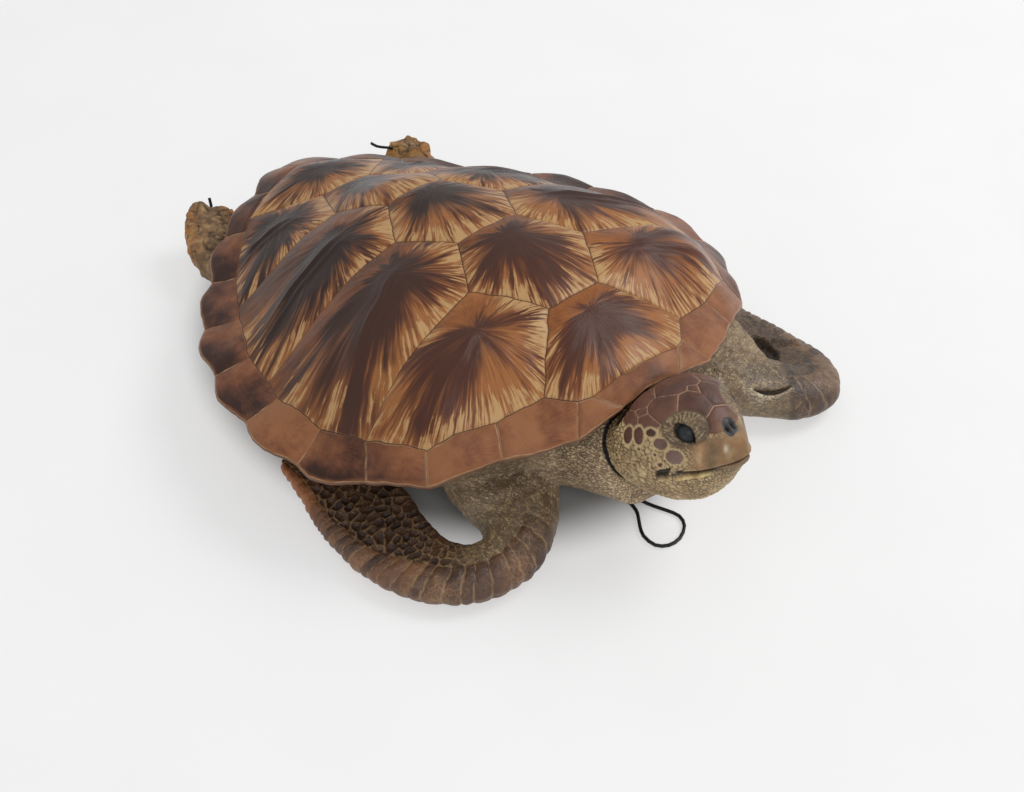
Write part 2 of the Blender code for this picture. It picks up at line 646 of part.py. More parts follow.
def head_relief(forward, up, side):
    """How far the head's skin stands out: lids out, mouth line and nostrils in."""
    out = 0.0
    eye = math.hypot(forward - EYE_PLACE[0], up - EYE_PLACE[1])
    if abs(side) > 8:
        out += EYE_LID_RISE * math.exp(-(eye / EYE_LID_RADIUS) ** 4)
    if forward > MOUTH_START[0] - 2:
        share = (forward - MOUTH_START[0]) / (MOUTH_END[0] - MOUTH_START[0])
        line = MOUTH_START[1] + (MOUTH_END[1] - MOUTH_START[1]) * share
        out -= MOUTH_DEPTH * math.exp(-((up - line) / 1.6) ** 2)
    nostril = math.dist((forward, up, abs(side)), NOSTRIL_PLACE)
    out -= NOSTRIL_DEPTH * math.exp(-(nostril / NOSTRIL_RADIUS) ** 2)
    return out


def head_ring(forward, top, bottom, half_width, widest):
    ring = []
    for i in range(HEAD_SIDES):
        turn = 2 * math.pi * i / HEAD_SIDES
        c, s = math.cos(turn), math.sin(turn)
        side = half_width * math.copysign(abs(c) ** HEAD_SQUARENESS, c)
        reach = (top - widest) if s > 0 else (widest - bottom)
        up = widest + reach * math.copysign(abs(s) ** HEAD_SQUARENESS, s)
        out = head_relief(forward, up, side)
        span = math.hypot(side, up - widest)
        if span > 1e-6:
            side += out * side / span
            up += out * (up - widest) / span
        ring.append(head_point(forward, up, side))
    return ring


def ball(name, centre, radius, surface, segments=12, rings=8):
    bm = bmesh.new()
    bmesh.ops.create_uvsphere(bm, u_segments=segments, v_segments=rings, radius=radius)
    bmesh.ops.translate(bm, verts=bm.verts, vec=centre)
    return finish_mesh(name, bm, surface)


def build_head(skin, glass):
    bm = bmesh.new()
    loft(bm, [head_ring(*section) for section in HEAD_SECTIONS])
    head = finish_mesh("head", bm, skin)
    boolean(head, neck_cutter("head_rear_cut", True, skin), "DIFFERENCE")
    for name, side in (("right", -1), ("left", 1)):
        centre = head_point(EYE_PLACE[0], EYE_PLACE[1], side * EYE_PLACE[2])
        ball("eye_" + name, centre, EYE_RADIUS, glass)
        boolean(head, ball("socket_" + name, centre, EYE_RADIUS + GAP, skin), "DIFFERENCE")


# ================================================================ wires
def smooth_route(points, per_span=4):
    """Catmull-Rom curve through the route's points."""
    padded = [points[0]] + list(points) + [points[-1]]
    route = []
    for p0, p1, p2, p3 in zip(padded, padded[1:], padded[2:], padded[3:]):
        p0, p1, p2, p3 = (Vector(p) for p in (p0, p1, p2, p3))
        for i in range(per_span):
            t = i / per_span
            route.append(0.5 * (2 * p1 + (p2 - p0) * t + (2 * p0 - 5 * p1 + 4 * p2 - p3) * t * t
                                + (3 * p1 - p0 - 3 * p2 + p3) * t ** 3))
    return route + [Vector(points[-1])]


def build_wire(name, points, surface, per_span=2):
    route = smooth_route(points, per_span)
    level = Vector((0, 0, 1))
    rings = []
    for i, place in enumerate(route):
        ahead = (route[min(i + 1, len(route) - 1)] - route[max(i - 1, 0)]).normalized()
        across = ahead.cross(level)
        if across.length < 0.1:
            across = Vector((1, 0, 0)) - ahead * ahead.x
        across.normalize()
        over = across.cross(ahead)
        ring = []
        for k in range(WIRE_SIDES):
            turn = 2 * math.pi * (k + 0.5) / WIRE_SIDES
            ring.append(place + (across * math.cos(turn) + over * math.sin(turn)) * WIRE_RADIUS)
        rings.append(ring)
    bm = bmesh.new()
    loft(bm, rings)
    return finish_mesh(name, bm, surface)


# ================================================================ the turtle
def main():
    clear_scene()
    horn = material("carapace_horn", (0.17, 0.075, 0.035), 0.32)
    belly = material("plastron_horn", (0.42, 0.3, 0.17), 0.45)
    skin = material("body_skin", (0.15, 0.11, 0.07), 0.6)
    scales = material("head_scales", (0.24, 0.14, 0.08), 0.45)
    flipper = material("flipper_skin", (0.1, 0.055, 0.035), 0.5)
    glass = material("eye_glass", (0.03, 0.035, 0.04), 0.15)
    wire = material("black_wire", (0.02, 0.02, 0.022), 0.45, 0.6)

    build_carapace(horn)
    build_plastron(belly)
    build_body(skin)
    build_head(scales, glass)
    build_limb("front_flipper_right", FRONT_RIGHT, FRONT_JOINT, flipper)
    build_limb("front_flipper_left", FRONT_LEFT, FRONT_JOINT, flipper)
    build_limb("hind_flipper_right", HIND_RIGHT, HIND_JOINT, flipper)
    build_limb("hind_flipper_left", HIND_LEFT, HIND_JOINT, flipper)
    build_wire("hanging_wire_loop", LOOP_ROUTE, wire)
    build_wire("wire_end_right", RIGHT_END_ROUTE, wire)
    build_wire("wire_end_left", LEFT_END_ROUTE, wire)


main()
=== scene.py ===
"""Dried and mounted young green sea turtle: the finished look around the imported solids.

Lengths are in millimetres in the code and in metres in the meshes.  +Z is up, the
head points along -Y and +X is the animal's left side.
"""

import math
from collections import namedtuple

import bmesh
import bpy
import numpy as np
from mathutils import Matrix, Vector, noise
from mathutils.bvhtree import BVHTree


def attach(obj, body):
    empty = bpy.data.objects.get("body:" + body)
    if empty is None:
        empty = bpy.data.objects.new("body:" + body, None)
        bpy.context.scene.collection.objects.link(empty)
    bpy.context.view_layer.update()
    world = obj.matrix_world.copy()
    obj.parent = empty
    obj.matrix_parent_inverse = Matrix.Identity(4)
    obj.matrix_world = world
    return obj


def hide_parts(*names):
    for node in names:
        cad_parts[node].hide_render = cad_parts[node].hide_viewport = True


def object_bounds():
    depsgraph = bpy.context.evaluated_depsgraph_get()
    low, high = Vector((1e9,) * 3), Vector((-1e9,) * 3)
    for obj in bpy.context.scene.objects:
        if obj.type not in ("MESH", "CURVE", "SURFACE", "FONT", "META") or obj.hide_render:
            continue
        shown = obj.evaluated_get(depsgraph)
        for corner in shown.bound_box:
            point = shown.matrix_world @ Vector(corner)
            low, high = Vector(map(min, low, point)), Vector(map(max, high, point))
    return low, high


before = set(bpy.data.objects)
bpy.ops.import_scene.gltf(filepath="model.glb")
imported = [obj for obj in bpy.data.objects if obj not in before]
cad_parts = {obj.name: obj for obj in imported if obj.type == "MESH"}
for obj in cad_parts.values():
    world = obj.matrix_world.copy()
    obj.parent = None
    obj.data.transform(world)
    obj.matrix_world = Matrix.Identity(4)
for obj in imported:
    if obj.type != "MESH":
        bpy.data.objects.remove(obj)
solid_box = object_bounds()
MM = 0.001

# ================================================================ view, light and floor
PICTURE_WIDTH = 1024
FOCAL_PIXELS = 1457.0
SENSOR_WIDTH = 36.0
CAMERA_PLACE = Vector((-357.8, -474.9, 502.5))
CAMERA_FALL = math.radians(42.12)       # how steeply the view looks down
CAMERA_TURN = math.radians(49.556)      # plan direction of the view, from +X
PAINTED_FLOOR_GLOW = 0.51                       # painted light: how brightly the floor itself glows
PAINTED_SHADOW_HALF_WIDTH, PAINTED_SHADOW_HALF_LENGTH = 0.105, 0.135      # painted shadow: no glow under the specimen
PAPER_GREYS = (0.39, 0.41)
FLOOR_HALF = 4.0
STUDIO_GLOW = 0.62                      # light from all round
LAMP_TARGET = (0, 0, 0.05)
LAMPS = (                               # name, place, size, power
    ("softbox_right", (1.2, -0.5, 1.5), 1.0, 15),
    ("softbox_front", (-0.9, -1.7, 1.5), 1.4, 9),
)


def add_camera():
    look = Vector((math.cos(CAMERA_FALL) * math.cos(CAMERA_TURN),
                   math.cos(CAMERA_FALL) * math.sin(CAMERA_TURN), -math.sin(CAMERA_FALL)))
    right = Vector((math.sin(CAMERA_TURN), -math.cos(CAMERA_TURN), 0))
    up = right.cross(look)
    lens = bpy.data.cameras.new("camera")
    lens.sensor_width = SENSOR_WIDTH
    lens.lens = FOCAL_PIXELS / PICTURE_WIDTH * SENSOR_WIDTH
    lens.clip_start = 0.01
    camera = bpy.data.objects.new("camera", lens)
    turn = Matrix((right, up, -look)).transposed().to_4x4()
    camera.matrix_world = Matrix.Translation(CAMERA_PLACE * MM) @ turn
    bpy.context.collection.objects.link(camera)
    bpy.context.scene.camera = camera


def add_lamp(name, place, size, power):
    lamp = bpy.data.lights.new(name, "AREA")
    lamp.shape = "DISK"
    lamp.size = size
    lamp.energy = power
    holder = bpy.data.objects.new(name, lamp)
    holder.location = place
    aim = Vector(LAMP_TARGET) - Vector(place)
    holder.rotation_euler = aim.to_track_quat("-Z", "Y").to_euler()
    bpy.context.collection.objects.link(holder)


def paper_with_painted_light():
    """Pale paper with painted light: it glows, but not under the specimen, where the dark patch is
    painted shadow.
    """
    f = Finish("floor_paper_painted_light")
    place = f.object_place()
    low, high = PAPER_GREYS
    tone = f.ramp(f.noise(place, 9.0, 3), [(0.3, (low, low, low)), (0.7, (high, high, high))])
    reach = f.stretch(place, (1 / PAINTED_SHADOW_HALF_WIDTH, 1 / PAINTED_SHADOW_HALF_LENGTH, 0))
    from_middle = f.vector_math("LENGTH", "Value", reach)
    # painted light that fades to painted shadow under the specimen
    painted_glow = f.times(f.step(from_middle, 0.97, 1.25), PAINTED_FLOOR_GLOW)
    f.feed(f.shader.inputs["Emission Strength"], painted_glow)
    f.surface(tone, 0.8, Specular_IOR_Level=0.1, Emission_Color=(1, 1, 1, 1))
    return f


def add_light_and_floor():
    world = bpy.data.worlds.new("studio")
    world.use_nodes = True
    background = world.node_tree.nodes["Background"]
    background.inputs["Color"].default_value = (1, 1, 1, 1)
    background.inputs["Strength"].default_value = STUDIO_GLOW
    bpy.context.scene.world = world
    bpy.context.scene.view_settings.view_transform = "Standard"
    for lamp in LAMPS:
        add_lamp(*lamp)
    bm = bmesh.new()
    bmesh.ops.create_grid(bm, x_segments=1, y_segments=1, size=FLOOR_HALF)
    mesh = bpy.data.meshes.new("floor")
    bm.to_mesh(mesh)
    bm.free()
    mesh.materials.append(paper_with_painted_light().material)
    floor = bpy.data.objects.new("floor", mesh)
    bpy.context.collection.objects.link(floor)


# ================================================================ finishes
def tint(red, green, blue):
    """A colour as a picture shows it, in 0 to 255, as the shader wants it."""
    def linear(value):
        share = value / 255
        return share / 12.92 if share <= 0.04045 else ((share + 0.055) / 1.055) ** 2.4
    return (linear(red), linear(green), linear(blue))


class Finish:
    """A procedural material and short ways to wire its nodes."""

    def __init__(self, name):
        self.material = bpy.data.materials.new(name)
        self.material.use_nodes = True
        self.nodes = self.material.node_tree.nodes
        self.links = self.material.node_tree.links
        self.shader = self.nodes["Principled BSDF"]

    def feed(self, socket, value):
        if isinstance(value, bpy.types.NodeSocket):
            self.links.new(value, socket)
        elif isinstance(value, (tuple, list)) and len(value) == 3 and socket.type == "RGBA":
            socket.default_value = (*value, 1)
        else:
            socket.default_value = value

    def object_place(self):
        return self.nodes.new("ShaderNodeTexCoord").outputs["Object"]

    def attribute(self, name, output="Vector"):
        node = self.nodes.new("ShaderNodeAttribute")
        node.attribute_name = name
        return node.outputs[output]

    def value(self, name):
        """A single number kept on the mesh."""
        return self.attribute(name, "Fac")

    def values(self, *names):
        return [self.value(name) for name in names]

    def parts(self, vector):
        node = self.nodes.new("ShaderNodeSeparateXYZ")
        self.feed(node.inputs[0], vector)
        return node.outputs[0], node.outputs[1], node.outputs[2]

    def vector(self, x, y, z):
        node = self.nodes.new("ShaderNodeCombineXYZ")
        for socket, value in zip(node.inputs, (x, y, z)):
            self.feed(socket, value)
        return node.outputs[0]

    def math(self, operation, first, second=0.0, third=0.0):
        node = self.nodes.new("ShaderNodeMath")
        node.operation = operation
        for socket, value in zip(node.inputs, (first, second, third)):
            self.feed(socket, value)
        return node.outputs[0]

    def times(self, first, second):
        return self.math("MULTIPLY", first, second)

    def plus(self, first, second):
        return self.math("ADD", first, second)

    def minus(self, first, second):
        return self.math("SUBTRACT", first, second)

    def absolute(self, value):
        return self.math("ABSOLUTE", value)

    def larger(self, first, second):
        return self.math("MAXIMUM", first, second)

    def vector_math(self, operation, output, *values):
        node = self.nodes.new("ShaderNodeVectorMath")
        node.operation = operation
        for socket, value in zip(node.inputs, values):
            self.feed(socket, value)
        return node.outputs[output]

    def total(self, *terms):
        """Sum of value times weight over pairs (value, weight)."""
        whole = 0.0
        for value, weight in terms:
            whole = self.math("MULTIPLY_ADD", value, weight, whole)
        return whole

    def step(self, value, low, high):
        """0 below low, 1 above high and smooth between them; falls if high is the lower."""
        node = self.nodes.new("ShaderNodeMapRange")
        node.interpolation_type = "SMOOTHSTEP"
        rising = low < high
        self.feed(node.inputs["Value"], value)
        self.feed(node.inputs["From Min"], min(low, high))
        self.feed(node.inputs["From Max"], max(low, high))
        self.feed(node.inputs["To Min"], 0.0 if rising else 1.0)
        self.feed(node.inputs["To Max"], 1.0 if rising else 0.0)
        return node.outputs[0]

    def stretch(self, vector, scale):
        return self.vector_math("MULTIPLY", "Vector", vector, scale)

    def shift(self, vector, other):
        return self.vector_math("ADD", "Vector", vector, other)

    def noise(self, place, scale, detail=3.0, roughness=0.55, distortion=0.0, output=0):
        node = self.nodes.new("ShaderNodeTexNoise")
        self.feed(node.inputs["Vector"], place)
        node.inputs["Scale"].default_value = scale
        node.inputs["Detail"].default_value = detail
        node.inputs["Roughness"].default_value = roughness
        node.inputs["Distortion"].default_value = distortion
        return node.outputs[output]

    def cell_border(self, place, scale):
        """Distance from the border of irregular cells."""
        node = self.nodes.new("ShaderNodeTexVoronoi")
        node.feature = "DISTANCE_TO_EDGE"
        self.feed(node.inputs["Vector"], place)
        node.inputs["Scale"].default_value = scale
        return node.outputs["Distance"]

    def ramp(self, value, stops):
        node = self.nodes.new("ShaderNodeValToRGB")
        self.feed(node.inputs[0], value)
        band = node.color_ramp
        band.elements[0].position, band.elements[-1].position = stops[0][0], stops[-1][0]
        band.elements[0].color = (*stops[0][1], 1)
        band.elements[-1].color = (*stops[-1][1], 1)
        for position, colour in stops[1:-1]:
            band.elements.new(position).color = (*colour, 1)
        return node.outputs[0]

    def mix(self, share, first, second):
        node = self.nodes.new("ShaderNodeMix")
        node.data_type = "RGBA"
        self.feed(node.inputs["Factor"], share)
        self.feed(node.inputs[6], first)
        self.feed(node.inputs[7], second)
        return node.outputs[2]

    def cover(self, colour, paint, share, most):
        """Lay a paint over a colour, at most so thick."""
        return self.mix(self.times(share, most), colour, paint)

    def shade(self, colour, share):
        """Multiply a colour by a grey share."""
        node = self.nodes.new("ShaderNodeVectorMath")
        node.operation = "SCALE"
        self.feed(node.inputs[0], colour)
        self.feed(node.inputs["Scale"], share)
        return node.outputs[0]

    def bump(self, height, distance, strength):
        """Fine relief from a height, distance in mm."""
        node = self.nodes.new("ShaderNodeBump")
        node.inputs["Strength"].default_value = strength
        node.inputs["Distance"].default_value = distance * MM
        self.feed(node.inputs["Height"], height)
        return node.outputs[0]

    def surface(self, colour, roughness, normal=None, **constants):
        self.feed(self.shader.inputs["Base Color"], colour)
        self.feed(self.shader.inputs["Roughness"], roughness)
        if normal is not None:
            self.feed(self.shader.inputs["Normal"], normal)
        for name, value in constants.items():
            self.shader.inputs[name.replace("_", " ")].default_value = value


# ================================================================ shared mesh tools
def start_ring(bm, points):
    verts = [bm.verts.new(p) for p in points]
    for first, second in zip(verts, verts[1:] + verts[:1]):
        bm.edges.new((first, second))
    return verts


def next_ring(bm, verts, points):
    """Extrude a closed ring of vertices and move the new ring to the points."""
    ring = set(verts)
    near = dict.fromkeys(e for v in verts for e in v.link_edges)
    edges = [e for e in near if set(e.verts) <= ring and len(e.link_faces) < 2]
    made = bmesh.ops.extrude_edge_only(bm, edges=edges)["geom"]
    fresh = {g for g in made if isinstance(g, bmesh.types.BMVert)}
    grown = [next(e.other_vert(v) for e in v.link_edges if e.other_vert(v) in fresh)
             for v in verts]
    for vert, point in zip(grown, points):
        vert.co = point
    return grown


def place_of(bm):
    return np.array([v.co for v in bm.verts], float)


def move_to(bm, places):
    for vert, place in zip(bm.verts, places):
        vert.co = place


def normals_of(bm):
    bm.normal_update()
    return np.array([v.normal for v in bm.verts])


def keep_values(bm, name, values):
    """Store a number at each vertex, for the finishes to read."""
    layer = bm.verts.layers.float.new(name)
    for vert, value in zip(bm.verts, values):
        vert[layer] = value


def pour(source, bm):
    """Add everything in one bmesh to another, and let the first go."""
    mesh = bpy.data.meshes.new("poured")
    source.to_mesh(mesh)
    source.free()
    bm.from_mesh(mesh)
    bpy.data.meshes.remove(mesh)


def smooth(bm, verts, rounds):
    for _ in range(rounds):
        bmesh.ops.smooth_vert(bm, verts=verts, factor=0.5, use_axis_x=True,
                              use_axis_y=True, use_axis_z=True)


def remeshed(bm, size):
    """One closed even skin round everything in bm, sizes in mm."""
    mesh = bpy.data.meshes.new("remesh_source")
    bm.to_mesh(mesh)
    bm.free()
    holder = bpy.data.objects.new("remesh_source", mesh)
    bpy.context.collection.objects.link(holder)
    modifier = holder.modifiers.new("even", "REMESH")
    modifier.mode = "VOXEL"
    modifier.voxel_size = size
    modifier.adaptivity = 0.0
    bpy.context.view_layer.update()
    even = bpy.data.meshes.new_from_object(
        holder.evaluated_get(bpy.context.evaluated_depsgraph_get()))
    bpy.data.objects.remove(holder)
    bpy.data.meshes.remove(mesh)
    made = bmesh.new()
    made.from_mesh(even)
    bpy.data.meshes.remove(even)
    return made


def copy_of_solid(bm, node):
    """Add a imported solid's mesh, in millimetres, merged into one surface."""
    solid = bmesh.new()
    solid.from_mesh(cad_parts[node].data)
    bmesh.ops.remove_doubles(solid, verts=solid.verts, dist=0.000005)
    bmesh.ops.scale(solid, vec=(1 / MM, 1 / MM, 1 / MM), verts=solid.verts)
    pour(solid, bm)


def finish_piece(name, bm, finishes, nodes):
    """Put a closed bmesh in millimetres into the scene as a piece in metres."""
    bmesh.ops.scale(bm, vec=(MM, MM, MM), verts=bm.verts)
    low, high = solid_box
    for vert in bm.verts:
        for axis in range(3):
            vert.co[axis] = min(max(vert.co[axis], low[axis]), high[axis])
    bmesh.ops.recalc_face_normals(bm, faces=bm.faces)
    mesh = bpy.data.meshes.new(name)
    bm.to_mesh(mesh)
    bm.free()
    for finish in finishes:
        mesh.materials.append(finish.material)
    mesh.shade_smooth()
    piece = bpy.data.objects.new(name, mesh)
    bpy.context.collection.objects.link(piece)
    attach(piece, "root")
    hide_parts(*nodes)
    return piece


def surface_of(places, faces):
    """A search tree over a surface in millimetres."""
    return BVHTree.FromPolygons([Vector(p) for p in places], faces)


def piece_surface(piece):
    faces = [tuple(face.vertices) for face in piece.data.polygons]
    return surface_of([v.co / MM for v in piece.data.vertices], faces)


def gap_to(surface, places, chosen):
    """Distance from the chosen places to a surface, far for the others."""
    gaps = np.full(len(places), 99.0)
    for i in np.nonzero(chosen)[0]:
        gaps[i] = surface.find_nearest(Vector(places[i]))[3]
    return gaps


def ripple(places, size, octaves=3, seed=0.0):
    """Smooth random height, about -1 to 1, at each place."""
    moved = np.asarray(places, float) / size + (seed, 2 * seed, -seed)
    return np.array([noise.fractal(Vector(p), 1.0, 2.0, octaves) for p in moved])


def ease(value, low, high):
    """0 at low, 1 at high and smooth between them; falls if high is the lower."""
    share = np.clip((value - low) / (high - low), 0.0, 1.0)
    return share * share * (3 - 2 * share)


def bell(value, width):
    """1 at nothing, falling off on both sides over about the width."""
    return np.exp(-(value / width) ** 2)


def oval(*spans):
    """1 in the middle of a soft oval; each span is a distance and the oval's width."""
    return np.exp(-sum((distance / width) ** 2 for distance, width in spans))


# ================================================================ upper shell
SHELL_LENGTH = 300.0
CORNERS = {                  # corners of the horny plates on the left half
    "rim0": (17.5, -150, 72.5), "rim1": (41, -147.5, 66), "rim2": (71, -132.5, 62),
    "rim3": (99.5, -115.5, 50), "rim4": (115.5, -92, 46), "rim5": (130.5, -60, 42.4),
    "rim6": (132.5, -21, 41.4), "rim7": (124.5, 19, 39), "rim8": (109, 55, 36.5),
    "rim9": (85, 87, 35.5), "rim10": (60, 114, 38), "rim11": (29, 132, 42),
    "in0": (26, -140, 77), "in1": (32, -137, 75.5), "in2": (65, -121, 71),
    "in3": (93, -107, 61.5), "in4": (107, -82, 58), "in5": (115, -57.5, 52),
    "in6": (116, -22, 47.5), "in7": (108, 14, 45), "in8": (94, 45, 42),
    "in9": (76, 78, 39), "in10": (53, 104, 43.5), "in11": (25, 122, 48),
    "front": (42, -126, 76), "side23": (112, -9, 46.4), "side34": (89, 54, 41),
    "rear45": (45, 111, 45),
    "v12": (15, -98.5, 95), "c12": (35, -66, 95.5), "v23": (18, -37, 98.5),
    "c23": (33.5, -8.5, 90.5), "v34": (17, 20, 89.5), "c34": (28, 51, 73),
    "v45": (15, 82, 62),
    "rim12": (0, SHELL_LENGTH / 2, 39), "in12": (0, 131, 50),
}
NUCHAL_MIDDLE = (0, -SHELL_LENGTH / 2, 76)
DOME_POINTS = [              # heights inside plates
    (60, -72, 90.5), (83, -76, 82), (100, -79, 67), (60, -6, 82), (84, -5, 66),
    (49, 51, 67), (66, 52, 56.5), (100, -40, 66), (80, -98, 80), (0, -118, 87),
    (0, -70, 101), (0, -20, 98.5), (0, 35, 88), (0, 100, 58),
]
DOME_STIFFNESS = 40.0
EXTRA_INNER = {2: ["front"], 7: ["side23"], 9: ["side34"], 11: ["rear45"]}

# Horny plates of the left half: corners in order, oldest spot that the streaks leave
# from, how far the dark reaches, the lines (y at the oldest spot, slope to the side) behind
# which lies the plain rear band, and, for the ribbed ones, how the rib ridge leans.
Plate = namedtuple("Plate", "kind corners free lobe centre reach band lean")
COSTALS = [
    (["front", "in2", "in3", "in4", "c12", "v12"], (49, -88), 0.96, [(-87, 1.5), (-88, -0.5)],
     -0.35),
    (["c12", "in4", "in5", "in6", "side23", "c23", "v23"], (51, -31), 1.08, [(-21, 0.0)], -0.55),
    (["c23", "side23", "in7", "in8", "side34", "c34", "v34"], (48, 23), 1.12, [(32, 0.1)], -0.08),
    (["c34", "side34", "in9", "in10", "rear45", "v45"], (42, 80), 1.08, [(97, 0.0)], 0.25),
]
VERTEBRALS = [
    (["in0", "in1", "front", "v12"], (0, -109), 1.08, [(-107, 0.0)]),
    (["v12", "c12", "v23"], (0, -52), 0.98, [(-45, 0.0)]),
    (["v23", "c23", "v34"], (0, 8), 1.02, [(13, 0.0)]),
    (["v34", "c34", "v45"], (0, 68), 1.04, [(76, 0.0)]),
    (["v45", "rear45", "in11", "in12"], (0, 108), 1.02, [(122, 0.0)]),
]
BULGE = {"costal": 2.6, "vertebral": 2.2, "marginal": 0.7, "nuchal": 0.4}
SEAM_SPACING = 1.45          # distance between points along a seam
SEAM_OFFSETS = (0.35, 0.8, 1.5, 2.6)
SEAM_DEPTH = 0.42
RING_SPACING = 2.1
RIM_LOBE_FRONT, RIM_LOBE_SIDE = 0.8, 4.8
RIM_THICKNESS = 3.6
UNDER_INSET, UNDER_DROP = 14.0, 6.5
NECK_ARCH_HALF = 33.0
BODY_SPINE = (-60, 80)
RIB_RIDGES = ((0.0, 5.5, 1.2), (1.5, 1.5, 0.7), (6.5, 1.3, 0.5))   # offset, width, height
SEAM_WANDER = 0.5
SLOPE_STEP = 0.5             # between the places that the dome's slope is read from
RIM_LIFT, RIM_LIFT_REACH = 1.5, 9.0
# inset and drop of the rings round the free edge
RIM_PROFILE = ((-0.15, 0.6), (0.05, 1.2), (0.8, 2.0), (2.2, 2.8), (3.2, RIM_THICKNESS))
UNDER_STEPS = (0.2, 0.4, 0.6, 0.8, 1.0)
FAR_IN = 400.0               # as far in as towards_spine goes
SIDE_REACH = 0.16            # how much further the dark reaches towards the side
# how light the plates of the rim are, kept as their reach
MARGINAL_TONES = (0.74, 0.80, 0.80, 0.52, 0.36, 0.72, 0.44, 0.38, 0.40, 0.36, 0.38, 0.40)
NUCHAL_TONE = 0.78
KINDS = {"costal": 0.0, "vertebral": 0.0, "marginal": 1.0, "nuchal": 1.0}


def mirrored(point):
    return (-point[0], *point[1:])


class SmoothSheet:
    """Height over x, y of the smoothest sheet through known points, a thin plate."""

    def __init__(self, points, stiffness):
        self.place = np.array([p[:2] for p in points], float)
        height = np.array([p[2] for p in points], float)
        count = len(points)
        gaps = np.linalg.norm(self.place[:, None] - self.place[None], axis=2)
        system = np.zeros((count + 3, count + 3))
        system[:count, :count] = self.bend(gaps) + stiffness * np.eye(count)
        system[:count, count] = 1
        system[:count, count + 1:] = self.place
        system[count:, :count] = system[:count, count:].T
        self.weights = np.linalg.solve(system, np.concatenate([height, np.zeros(3)]))

    @staticmethod
    def bend(distance):
        safe = np.maximum(distance, 1e-6)
        return safe * safe * np.log(safe)

    def height(self, plan):
        plan = np.atleast_2d(np.asarray(plan, float))
        count = len(self.place)
        rise = np.zeros(len(plan))
        for centre, weight in zip(self.place, self.weights):
            rise += weight * self.bend(np.hypot(plan[:, 0] - centre[0], plan[:, 1] - centre[1]))
        return rise + self.weights[count] + plan @ self.weights[count + 1:]


def shell_points():
    left = [p for p in CORNERS.values() if p[0] > 0] + [p for p in DOME_POINTS if p[0] > 0]
    middle = [p for p in DOME_POINTS if p[0] == 0]
    middle += [NUCHAL_MIDDLE, CORNERS["rim12"], CORNERS["in12"]]
    return left + [mirrored(p) for p in left] + middle


dome = SmoothSheet(shell_points(), DOME_STIFFNESS)


def seam(start, end, lobe):
    """Points from start up to but not including end, a free edge swelling by lobe."""
    first, last = sorted((start, end), key=lambda p: (p[1], p[0]))
    across = Vector((last[0] - first[0], last[1] - first[1]))
    steps = max(1, round(across.length / SEAM_SPACING))
    outward = Vector((across.y, -across.x)).normalized()
    if outward.x * (first[0] + last[0]) < 0:
        outward.negate()
    points = []
    for i in range(steps + 1):
        share = i / steps
        swell = lobe * math.sin(math.pi * share ** 1.35)
        points.append((first[0] + across.x * share + outward.x * swell,
                       first[1] + across.y * share + outward.y * swell))
    if first != start:
        points.reverse()
    return points[:-1]


def corner(name, side=1):
    return (side * CORNERS[name][0], CORNERS[name][1])


def rim_lobe(index):
    return RIM_LOBE_FRONT if index <= 4 else RIM_LOBE_SIDE


def shell_plates():
    nuchal = [corner("rim0"), corner("in0"), corner("in0", -1), corner("rim0", -1)]
    plates = [Plate("nuchal", nuchal, None, 0.0, (0, -145.2), NUCHAL_TONE, [(0, 0)], 0)]
    for names, centre, reach, band in VERTEBRALS:
        left = [corner(n) for n in names]
        right = [mirrored(c) for c in reversed(left) if c[0] != 0]
        plates.append(Plate("vertebral", left + right, None, 0.0, centre, reach, band, 0))
    for side in (1, -1):
        for names, centre, reach, band, lean in COSTALS:
            plates.append(Plate("costal", [corner(n, side) for n in names], None, 0.0,
                                (side * centre[0], centre[1]), reach, band, lean))
        for index in range(1, 13):
            outer = [corner("rim%d" % i, side) for i in (index - 1, index)]
            inner = [corner("in%d" % i, side) for i in (index - 1, index)]
            between = [corner(n, side) for n in EXTRA_INNER.get(index, [])]
            corners = [outer[0], outer[1], inner[1]] + between + [inner[0]]
            old = [0.12 * outer[0][k] + 0.42 * outer[1][k] + 0.33 * inner[1][k]
                   + 0.13 * inner[0][k] for k in (0, 1)]
            plates.append(Plate("marginal", corners, {outer[0], outer[1]}, rim_lobe(index),
                                tuple(old), MARGINAL_TONES[index - 1], [(0, 0)], 0))
    return plates


def grow_plate(bm, number, plate, share_layer, edge_layer, plate_layer):
    """Rings of one plate, from its seams to the oldest spot."""
    ground = []
    for i, start in enumerate(plate.corners):
        end = plate.corners[(i + 1) % len(plate.corners)]
        is_free = plate.free is not None and {start, end} == plate.free
        ground += seam(start, end, plate.lobe if is_free else 0.0)
    ground = np.array(ground)
    centre = np.array(plate.centre, float)
    reach = np.linalg.norm(ground - centre, axis=1)
    steps = max(4, round(float(np.percentile(reach, 80)) / RING_SPACING))
    shares = [np.ones(len(ground))]
    for offset in SEAM_OFFSETS:
        shares.append(1 - np.minimum(offset / reach, 0.8 * offset / SEAM_OFFSETS[-1] * 0.75))
    last = shares[-1]
    for k in range(1, steps + 1):
        shares.append(last * (1 - k / steps))
    before = len(bm.faces)
    verts = None
    for share in shares:
        plan = centre + (ground - centre) * share[:, None]
        points = [(x, y, 0.0) for x, y in plan]
        verts = start_ring(bm, points) if verts is None else next_ring(bm, verts, points)
        for vert, value, span in zip(verts, share, reach):
            vert[share_layer] = value
            vert[edge_layer] = (1 - value) * span
    bmesh.ops.pointmerge(bm, verts=verts, merge_co=(*centre, 0.0))
    bm.faces.ensure_lookup_table()
    for face in bm.faces[before:]:
        face[plate_layer] = number


def towards_spine(plan, distance):
    """Move plan points in from the rim, towards the body's middle line."""
    target = np.stack([np.zeros(len(plan)), np.clip(plan[:, 1], *BODY_SPINE)], axis=1)
    way = target - plan
    length = np.linalg.norm(way, axis=1, keepdims=True)
    return plan + way / length * np.minimum(distance, length * 0.96)


